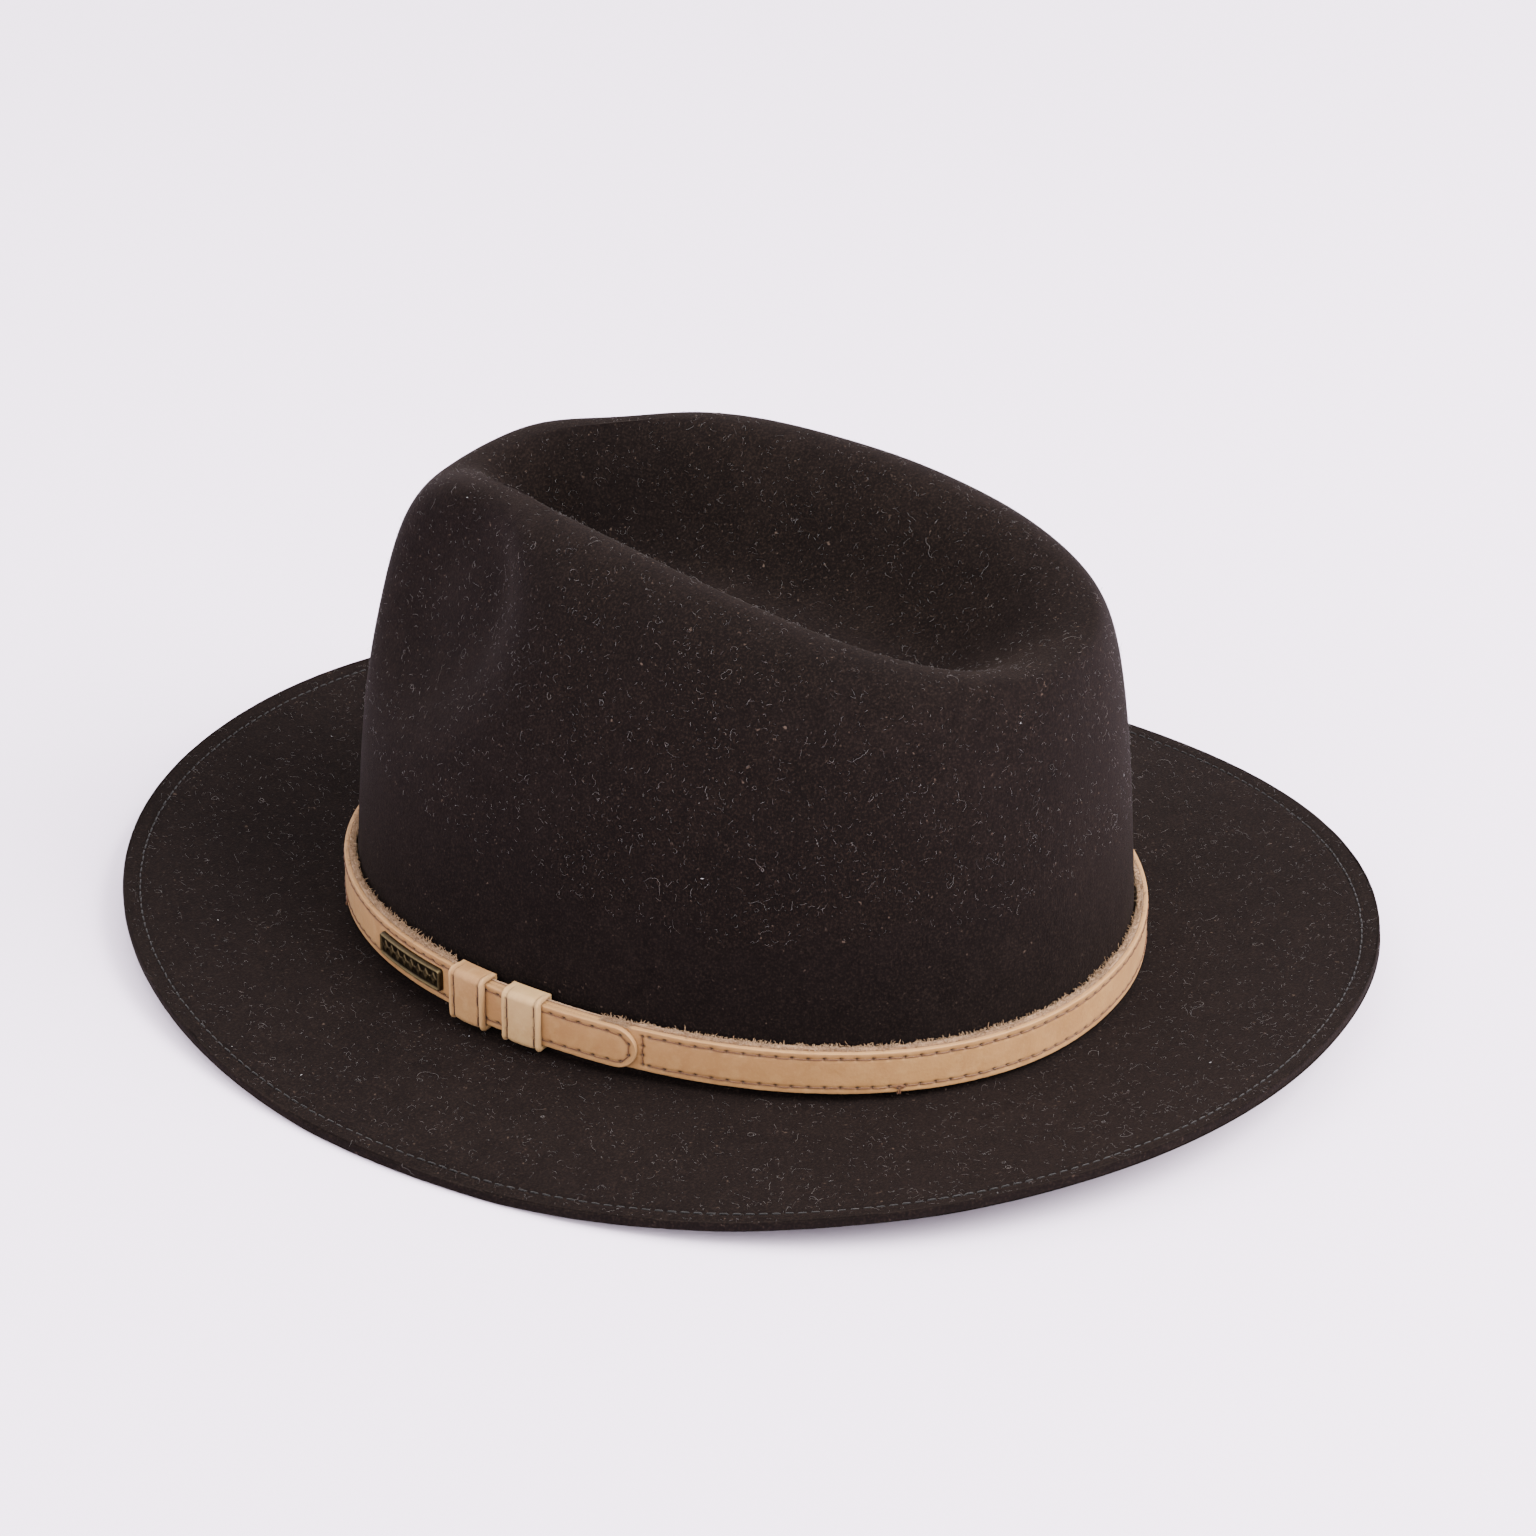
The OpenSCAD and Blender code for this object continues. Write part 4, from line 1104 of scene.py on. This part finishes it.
def sweat_leather():
    m = Mat("sweat_leather", rough=0.5, Specular_IOR_Level=0.4)
    base = m.mix(m.rng(m.noise(60, 4, 0.6), 0.36, 0.66), srgb(112, 78, 54), srgb(92, 62, 42))
    base = m.mix(m.rng(m.voronoi(1300), 0.0, 0.35), srgb(70, 46, 32), base)
    base = m.mix(m.attr("edge"), base, srgb(150, 116, 84))
    # painted shade: darker along the stitch groove and in the back seam
    base = m.mix(m.attr("shade_and_patina"), base, srgb(38, 24, 16))
    m.color(base)
    m.rough(m.rng(m.noise(200, 3), 0.3, 0.7, 0.42, 0.62))
    m.bump((m.noise(130, 4), 0.25, 0.4), (m.voronoi(1300), 0.4, 0.12), (m.noise(2400, 3), 0.25, 0.06))
    return m.m


def ribbon_material(name, a, b, ribs=900, rough=0.6):
    m = Mat(name, rough=rough, Sheen_Weight=0.25, Sheen_Roughness=0.35, Specular_IOR_Level=0.35)
    w = m.new("ShaderNodeTexWave", wave_type="BANDS", bands_direction="Z")
    w.inputs["Scale"].default_value = ribs
    w.inputs["Distortion"].default_value = 0.6
    w.inputs["Detail"].default_value = 1.0
    m.link(m.co, w.inputs["Vector"])
    m.color(m.mix(m.rng(w.outputs["Fac"], 0.2, 0.8), a, b))
    m.bump((w.outputs["Fac"], 0.5, 0.15), (m.noise(2400, 2), 0.3, 0.05))
    return m.m


def satin_material(name, a, b):
    m = Mat(name, rough=0.34, Sheen_Weight=0.3, Sheen_Roughness=0.3, Sheen_Tint=srgb(214, 190, 176), Specular_IOR_Level=0.55, Anisotropic=0.4)
    weave = m.new("ShaderNodeTexWave", wave_type="BANDS", bands_direction="DIAGONAL")
    weave.inputs["Scale"].default_value = 1500
    weave.inputs["Distortion"].default_value = 1.0
    m.link(m.co, weave.inputs["Vector"])
    base = m.mix(m.rng(m.noise(40, 4), 0.35, 0.65), a, b)
    base = m.mix(m.math("MULTIPLY", weave.outputs["Fac"], 0.18), base, srgb(120, 100, 90))
    m.color(base)
    m.rough(m.rng(m.noise(150, 3), 0.3, 0.7, 0.28, 0.42))
    m.bump((m.noise(70, 4, 0.5, None, 0.8), 0.35, 1.0), (weave.outputs["Fac"], 0.2, 0.05))
    return m.m


M_SWEAT = sweat_leather()
M_TAPE = ribbon_material("tape", srgb(46, 38, 34), srgb(66, 55, 50), 1400)
M_RIBBON = ribbon_material("ribbon", srgb(30, 24, 22), srgb(58, 46, 42), 1100)
M_LABEL = ribbon_material("label", srgb(222, 214, 196), srgb(238, 232, 218), 1600)
M_SATIN = satin_material("satin", srgb(92, 74, 66), srgb(76, 60, 54))
M_PIPING = satin_material("piping", srgb(44, 34, 30), srgb(56, 44, 38))
m = Mat("reed_plastic", rough=0.35, Specular_IOR_Level=0.5, Subsurface_Weight=0.2)
m.color(m.mix(m.rng(m.noise(200, 3), 0.3, 0.7), srgb(216, 208, 190), srgb(232, 226, 212)))
m.bump((m.noise(900, 2), 0.2, 0.05))
M_REED = m.m

n_in = 420
TI = np.arange(n_in) * 360 / n_in


def inside_grid(prof, n=None, noise_fn=None):
    """prof: (P, 2) of inward offset and height over in_z. Returns (P, n, 3)."""
    t = TI if n is None else np.arange(n) * 360 / n
    k = prof[:, 0][:, None] + 0 * t[None]
    z = in_z(t)[None] + prof[:, 1][:, None]
    if noise_fn is not None:
        k = k + noise_fn(t[None] + 0 * k, prof[:, 1][:, None] + 0 * k)
    return wall_pt(np.broadcast_to(t[None], k.shape), z, -k)


def build_sweatband():
    z = np.linspace(0.4, SWEAT_H - 0.45, 64)
    head = SWEAT_O + SWEAT_T + 1.9 * (1 - ramp(z, 3.4, 9.2))
    back = SWEAT_O + 1.9 * (1 - ramp(z, 3.1, 9.0)) + 0.02
    p = [(k, q, 1) for k, q in zip(head, z)]
    p += [(head[-1] - 0.15, SWEAT_H - 0.08, 2), (SWEAT_O + SWEAT_T / 2, SWEAT_H - 0.02, 2), (SWEAT_O + 0.2, SWEAT_H - 0.08, 2)]
    p += [(k, q, 0) for k, q in zip(back[::-3], z[::-3])]
    p += [(back[0] + 0.15, 0.1, 2), (head[0] - SWEAT_T / 2, 0.02, 2), (head[0] - 0.15, 0.1, 2)]
    p = np.array(p, float)
    t = np.broadcast_to(TI[None], (len(p), n_in))
    zz = np.broadcast_to(p[:, 1][:, None], t.shape)
    arc = t / 360 * 600
    wr = 0.16 * field(arc, zz * 0.8, 0 * t, 91, 30) + 0.10 * field(arc, zz * 1.2, 0 * t, 92, 9) * ramp(zz, 8, 30)
    stitch = np.exp(-((zz - 3.95) / 0.7) ** 2) * 0.22
    seam = 0.5 * np.exp(-((arc - 300) / 0.35) ** 2)
    k = p[:, 0][:, None] + np.where(p[:, 2][:, None] == 1, np.clip(wr, -0.12, 0.3) - stitch - seam, 0)
    v = wall_pt(t, in_z(t) + zz, -k)
    edge = np.where(p[:, 2][:, None] == 2, 0.8, 0.0) + 0 * t
    # painted shade in the stitch groove and the back seam
    shade_and_patina = np.where(p[:, 2][:, None] == 1, 0.55 * np.exp(-((zz - 3.95) / 0.35) ** 2) + 0.7 * np.exp(-((arc - 300) / 0.3) ** 2), 0)
    return add("sweatband_leather", v, grid(len(p), n_in, wrap_m=True, wrap_n=True, flip=True), M_SWEAT, "hat",
               attrs={"edge": edge.ravel(), "shade_and_patina": np.clip(shade_and_patina, 0, 1).ravel()}, nodes=("sweatband",))


build_sweatband()

a = np.arange(0, 360, 30)
reed = np.stack([SWEAT_O + 0.9 + 0.8 * np.cos(a * RAD), 1.4 + 0.8 * np.sin(a * RAD)], -1)
add("reed_tube", inside_grid(reed), grid(len(reed), n_in, wrap_m=True, wrap_n=True), M_REED, "hat", nodes=("sweatband_reed",))
tape = np.array([[FELT + 0.26, 0.1]] + [[FELT + 0.56, q] for q in np.linspace(0.1, 10, 14)] + [[FELT + 0.26, q] for q in np.linspace(10, 0.6, 6)])
add("reed_tape", inside_grid(tape, None, lambda t, z: 0.05 * field(t * 1.6, z, 0 * t, 95, 6)), grid(len(tape), n_in, wrap_m=True, wrap_n=True), M_TAPE, "hat", nodes=("sweatband_tape",))


def sweat_face(t, zk):
    k = SWEAT_O + SWEAT_T + 1.9 * (1 - ramp(zk, 3.4, 9.2)) - 0.22 * np.exp(-((zk - 3.95) / 0.7) ** 2)
    return wall_pt(t, in_z(t) + zk, -(k + 0.06))


v, f, tr = ring_stitches(lambda t: sweat_face(t, np.full(t.shape, 3.95)), lambda t: np.concatenate([-nrm(t), 0 * t[:, None]], -1), 236, 0.8, 0.12, 0.25, 0.2, seed=7, wobble=0.04)
add("sweatband_row", v, f, M_SWEAT_THREAD, "hat", nodes=("sweatband_stitching",), tris=tr)


def back_y(z):
    return wall_pt(np.array(180.0), np.array(float(z)), np.array(-(SWEAT_O + SWEAT_T)))[1]


parts = []
for i in range(4):
    z = 26.5 + i * 3.8
    for sg in (-1, 1):
        x = np.linspace(-1, 1, 9)
        yy = back_y(z) - 0.25 + 0.2 * np.abs(x) ** 6
        parts.append(tubes(np.stack([x * 1.2, yy - 0.05 * (sg > 0), z + sg * x * 1.2], -1)[None], 0.22, 6))
v, f, tr = join(parts)
add("sweatband_cross_stitches", v, f, M_SWEAT_THREAD, "hat", nodes=("sweatband_seam",), tris=tr)


def bow():
    """A ribbon bow: two loops, two notched tails and the knot, each a strip with thickness."""
    y0, z0 = back_y(19.5) - 1.1, 19.5
    parts = []

    def strip(path, width, th=0.16, notch=0.0):
        path = np.array(path, float)                       # (S, 3) centreline, ribbon's width lies along 'wide'
        S = len(path)
        tg = unit(np.gradient(path, axis=0))
        wide = unit(np.cross(tg, np.array([0, 1.0, 0])) + 1e-9)
        no = np.cross(wide, tg)
        nwid = 9
        q = np.linspace(-1, 1, nwid)
        wd = np.broadcast_to(np.asarray(width, float).reshape(-1, 1), (S, 1))
        P0 = path[:, None] + wide[:, None] * (q[None, :, None] * wd[..., None] / 2)
        if notch:
            P0[-1] += tg[-1] * (-notch * (1 - np.abs(q)))[:, None]
        cup = 0.25 * (q ** 2)[None, :, None] * no[:, None]
        A, B = P0 + no[:, None] * th / 2 + cup, P0 - no[:, None] * th / 2 + cup
        V = np.concatenate([A, B[:, ::-1]], 1)
        m_, n_ = V.shape[:2]
        parts.append((V.reshape(-1, 3), grid(m_, n_, wrap_n=True), None))

    for sg in (-1, 1):
        a = np.linspace(0, 1, 22)
        ang = a * 2 * math.pi
        x = sg * (0.8 + 4.0 * (1 - np.cos(ang)))
        y = y0 - 0.75 + 0.62 * np.sin(ang)
        z = z0 + 0.5 * np.sin(a * math.pi) - 0.3 + 0 * x
        w = 3.0 + 3.6 * np.sin(a * math.pi) ** 0.7
        strip(np.stack([x, y, z], -1), w)
        b = np.linspace(0, 1, 12)
        xt = sg * (0.4 + 3.6 * b + 0.4 * np.sin(b * 5))
        zt = z0 - 0.4 - 8.6 * b
        yt = y0 - 0.35 - 0.35 * np.sin(b * 3.0)
        strip(np.stack([xt, yt, zt], -1), 2.0 + 1.6 * b, notch=1.4)
    k = np.linspace(0, 2 * math.pi, 17)
    P0 = []
    for x in np.linspace(-1.15, 1.15, 9):
        r = 1 + 0.10 * math.cos(x * 2.2)
        P0.append(np.stack([np.full(16, x), y0 - 0.75 + 1.05 * r * np.sin(k[:16]) * 0.95, z0 + 1.75 * r * np.cos(k[:16])], -1))
    P0 = np.array(P0)
    cen = P0.mean(1)
    V = np.concatenate([P0.reshape(-1, 3), cen[0][None], cen[-1][None]])
    j = np.arange(16)
    t0 = np.stack([j, (j + 1) % 16, np.full(16, 144)], -1)
    t1 = np.stack([128 + (j + 1) % 16, 128 + j, np.full(16, 145)], -1)
    parts.append((V, grid(9, 16, wrap_n=True), np.concatenate([t0, t1])))
    v, f, tr = join(parts)
    add("sweatband_ribbon_bow", v, f, M_RIBBON, "hat", nodes=("sweatband_bow",), tris=tr)


bow()


def label():
    tt = np.linspace(197, 212, 40)
    zz = np.linspace(17, 31, 30)
    A, B = np.meshgrid(tt, zz, indexing="ij")
    corner = 0.03 * field(A * 3, B, 0 * A, 97, 5)
    def at(o):
        return wall_pt(A, in_z(A) + B, -(SWEAT_O + SWEAT_T + o + corner + 0.16))
    P1, P0 = at(0.22), at(0.05)
    m_, n_ = A.shape
    V = np.concatenate([P1.reshape(-1, 3), P0.reshape(-1, 3)])
    q = grid(m_, n_)
    q2 = q[:, ::-1] + m_ * n_
    bi = np.concatenate([np.arange(n_), np.arange(1, m_) * n_ + n_ - 1, (m_ - 1) * n_ + np.arange(n_ - 2, -1, -1), np.arange(m_ - 2, 0, -1) * n_])
    j = np.arange(len(bi))
    jn = (j + 1) % len(bi)
    q3 = np.stack([bi[jn], bi[j], bi[j] + m_ * n_, bi[jn] + m_ * n_], -1)
    o = add("size_label_cloth", V, np.concatenate([q, q2, q3]), M_LABEL, "hat", nodes=("size_label",))
    return o


lab = label()


def low_u(t):
    # the side wall's lower edge tucks in behind the sweatband's top
    z0 = foot_z(t) + FILLET
    h = (in_z(t) + SWEAT_H - 1.2 - z0) / (ridge(t)[..., 2] - z0)
    return 1.08 + 0.92 / 90 * np.arcsin(h ** (wall_m(t) / 2)) / RAD


def lining():
    n = 420
    t = np.arange(n) * 360 / n
    out = []
    low = low_u(t)[None]
    for us_, wall in ((low + (1.87 - low) * np.linspace(0, 1, 46)[:, None], True),
                      (np.concatenate([np.linspace(1.955, 2.2, 14), np.linspace(2.23, 3, 40)])[:, None] + 0 * low, False)):
        P = surf(t[None], us_)
        N = surface_normals(P)
        if wall:
            n_last = P[-1]
            dt = np.roll(P, -1, 1) - np.roll(P, 1, 1)
            N = unit(np.cross(dt, np.gradient(P, axis=0)))
        hh = np.where(us_ <= 2, np.sin(np.clip((us_ - 1.08) / 0.92, 0, 1) * 90 * RAD), 1) ** (2 / wall_m(t))[None]
        pin = ease_at(t[None], np.where(us_ <= 2, hh, 1 + 0.35 * np.clip(us_ - 2, 0, 1)))
        depth = FELT + 0.42 + 0.17 + pin
        arc = t[None] / 360 * 560
        if wall:
            g = (us_ - low) / (1.905 - low)
            fold = 0.5 + 0.5 * np.sin(arc / 560 * 2 * math.pi * 64 + 1.2 * field(arc, 0 * arc, 0 * arc, 99, 60))
            depth = depth + fold ** 3 * (0.08 + 0.82 * g) * (1 - g ** 12) + 0.25 * (1 + field(P[..., 0], P[..., 1], P[..., 2], 98, 24)) * np.sin(g * math.pi)
        else:
            g = np.clip((us_ - 1.955) / 1.045, 0, 1)
            depth = depth + 0.30 * (1 + field(P[..., 0], P[..., 1], P[..., 2], 101, 22)) * np.sin(np.clip(g, 0, 1) * math.pi * 0.9)
        V = P - N * depth[..., None]
        if not wall:
            V[-1, :, 0] = 0
        out.append(V)
    W, Tp = out
    wall = add("lining_side", W.reshape(-1, 3), grid(W.shape[0], n, wrap_n=True, flip=True), M_SATIN, "hat", nodes=("lining_wall",), closed=False)
    idx = np.arange(Tp.shape[0] * n).reshape(-1, n)
    mi = np.arange(n)
    mi[n // 2 + 1:] = n - mi[n // 2 + 1:]
    idx[-1] = idx[-1][mi]
    q = idx.ravel()[grid(Tp.shape[0], n, wrap_n=True, flip=True)]
    tip = add("lining_crown", Tp.reshape(-1, 3), q, M_SATIN, "hat", nodes=("lining_tip",), closed=False)
    # piping: a covered cord sewn between them
    us_ = np.array([1.915, 1.93, 1.945])
    P = surf(t[None], us_[:, None])
    dt = np.roll(P, -1, 1) - np.roll(P, 1, 1)
    N = unit(np.cross(dt, np.gradient(P, axis=0)))[1]
    c = P[1] - N * (FELT + 0.4 + 0.62 + ease_at(t, np.sin((1.93 - 1.08) / 0.92 * 90 * RAD) ** (2 / wall_m(t))))[:, None]
    B = unit(np.cross(dt[1], N))
    aa = np.arange(0, 360, 36)
    ring = c[None] + N[None] * (0.55 * np.cos(aa * RAD))[:, None, None] + B[None] * (0.55 * np.sin(aa * RAD))[:, None, None]
    pip = add("lining_cord_edge", ring, grid(len(aa), n, wrap_m=True, wrap_n=True), M_PIPING, "hat", nodes=("lining_piping",))
    return wall, tip, pip


lin_wall, lin_tip, lin_pip = lining()


# ------------------------------------------------------------------ loose hairs and nap on the felt
def scatter(count, seed, weight=None):
    g = np.random.default_rng(seed)
    A = np.linalg.norm(np.cross(np.roll(OUT, -1, 1)[:-1] - OUT[:-1], OUT[1:] - OUT[:-1]), axis=-1)
    umid = (us[1:] + us[:-1]) / 2
    A = A * np.where((umid > 0.97) & (umid < 1.27), 0, 1)[:, None]
    if weight is not None:
        A = A * weight(umid)[:, None]
    p = A.ravel() / A.sum()
    c = g.choice(len(p), size=count, p=p)
    k, j = c // N_T, c % N_T
    a, b = g.uniform(0, 1, count)[:, None], g.uniform(0, 1, count)[:, None]
    j2 = (j + 1) % N_T
    pos = (OUT[k, j] * (1 - a) + OUT[k + 1, j] * a) * (1 - b) + (OUT[k, j2] * (1 - a) + OUT[k + 1, j2] * a) * b
    return pos, unit(NV[k, j] * (1 - a) + NV[k + 1, j] * a), g


def hairs(name, count, seed, length, radius, lift, curl, mat, seg=8, weight=None):
    pos, n, g = scatter(count, seed, weight)
    ref = unit(g.normal(size=pos.shape))
    e1 = unit(np.cross(n, ref))
    e2 = np.cross(n, e1)
    L = length(g, count)
    cv = g.normal(0, curl, count)[:, None] * np.ones((1, seg)) + g.normal(0, curl * 0.7, (count, seg))
    ang = g.uniform(0, 6.28, count)[:, None] + np.cumsum(cv, 1)
    step = (L / (seg - 1))[:, None]
    x = np.concatenate([np.zeros((count, 1)), np.cumsum(np.cos(ang[:, 1:]) * step, 1)], 1)
    y = np.concatenate([np.zeros((count, 1)), np.cumsum(np.sin(ang[:, 1:]) * step, 1)], 1)
    s = np.linspace(0, 1, seg)[None]
    up = lift(g, count)[:, None]
    hgt = 0.03 + up * np.where(g.uniform(size=(count, 1)) < 0.5, s, np.sin(s * math.pi)) * np.minimum(L, 3)[:, None]
    p = pos[:, None] + e1[:, None] * x[..., None] + e2[:, None] * y[..., None] + n[:, None] * hgt[..., None]
    p[..., 2] = np.maximum(p[..., 2], 0.15)
    r = radius(g, count)[:, None]
    v, f, tr = tubes(p, r, 3)
    return add(name, v, f, mat, "hat", tris=tr)


q = 1.0
hairs("hairs_pale", int(1500 * q), 201, lambda g, n: np.clip(g.gamma(2.0, 0.85, n), 0.4, 5.0), lambda g, n: g.uniform(0.010, 0.022, n), lambda g, n: g.uniform(0.02, 0.22, n), 0.45, M_LINT)
hairs("hairs_long", int(110 * q), 202, lambda g, n: g.uniform(3.5, 9, n), lambda g, n: g.uniform(0.018, 0.03, n), lambda g, n: g.uniform(0.02, 0.12, n), 0.5, M_LINT, seg=16)
hairs("hairs_brown", int(14000 * q), 203, lambda g, n: np.clip(g.gamma(2.0, 0.42, n), 0.25, 2.6), lambda g, n: g.uniform(0.015, 0.03, n), lambda g, n: g.uniform(0.05, 0.55, n), 0.5, M_NAP, seg=5)
hairs("lint_specks", int(20 * q), 204, lambda g, n: g.uniform(0.25, 0.8, n), lambda g, n: g.uniform(0.045, 0.085, n), lambda g, n: g.uniform(0.0, 0.1, n), 0.3, M_WHITE, seg=4)

# ------------------------------------------------------------------ floor, light and camera
fm = Mat("floor_paper", rough=0.9, Specular_IOR_Level=0.15)
fm.color(fm.mix(fm.rng(fm.noise(1.2, 2), 0.3, 0.7), srgb(240, 226, 243), srgb(244, 230, 247)))
fm.bump((fm.noise(500, 3), 0.05, 0.05))
bpy.ops.mesh.primitive_plane_add(size=14, location=(0, 0, -0.0002))
floor = bpy.context.object
floor.name = "floor"
floor.data.materials.append(fm.m)

world = bpy.data.worlds.new("studio")
bpy.context.scene.world = world
world.use_nodes = True
bg = world.node_tree.nodes["Background"]
bg.inputs["Color"].default_value = (0.93, 0.90, 0.96, 1)
bg.inputs["Strength"].default_value = 2.2


def area(name, loc, target, size, energy, color=(1, 1, 1)):
    li = bpy.data.lights.new(name, "AREA")
    li.shape = "RECTANGLE"
    li.size, li.size_y = size
    li.energy = energy
    li.color = color
    o = bpy.data.objects.new(name, li)
    bpy.context.scene.collection.objects.link(o)
    o.location = loc
    o.rotation_mode = "QUATERNION"
    o.rotation_quaternion = (Vector(target) - Vector(loc)).to_track_quat("-Z", "Y")
    return o


area("key_softbox", (-0.5, 1.9, 1.9), (0, 0, 0.05), (2.0, 2.0), 310, (1.0, 0.97, 0.99))
area("top_softbox", (0.2, 0.0, 2.6), (0, 0, 0.05), (2.6, 2.6), 52, (1.0, 0.97, 0.99))
area("fill_softbox", (2.3, -0.4, 1.4), (0, 0, 0.05), (2.0, 1.6), 50, (0.98, 0.97, 1.0))

cam_data = bpy.data.cameras.new("camera")
cam = bpy.data.objects.new("camera", cam_data)
bpy.context.scene.collection.objects.link(cam)
cam_data.sensor_width = 36
cam_data.lens = 36 * 5072.44 / 1536
cam_data.clip_start, cam_data.clip_end = 0.05, 50
az, el, dist = 120.1 * RAD, 28.68 * RAD, 1.30296
back = Vector((math.sin(az) * math.cos(el), -math.cos(az) * math.cos(el), math.sin(el)))
cam.location = Vector((0, 0.00645, 0.04686)) + back * dist
cam.rotation_mode = "QUATERNION"
cam.rotation_quaternion = (-back).to_track_quat("-Z", "Y") @ Quaternion((0, 0, 1), 0.56 * RAD)
bpy.context.scene.camera = cam
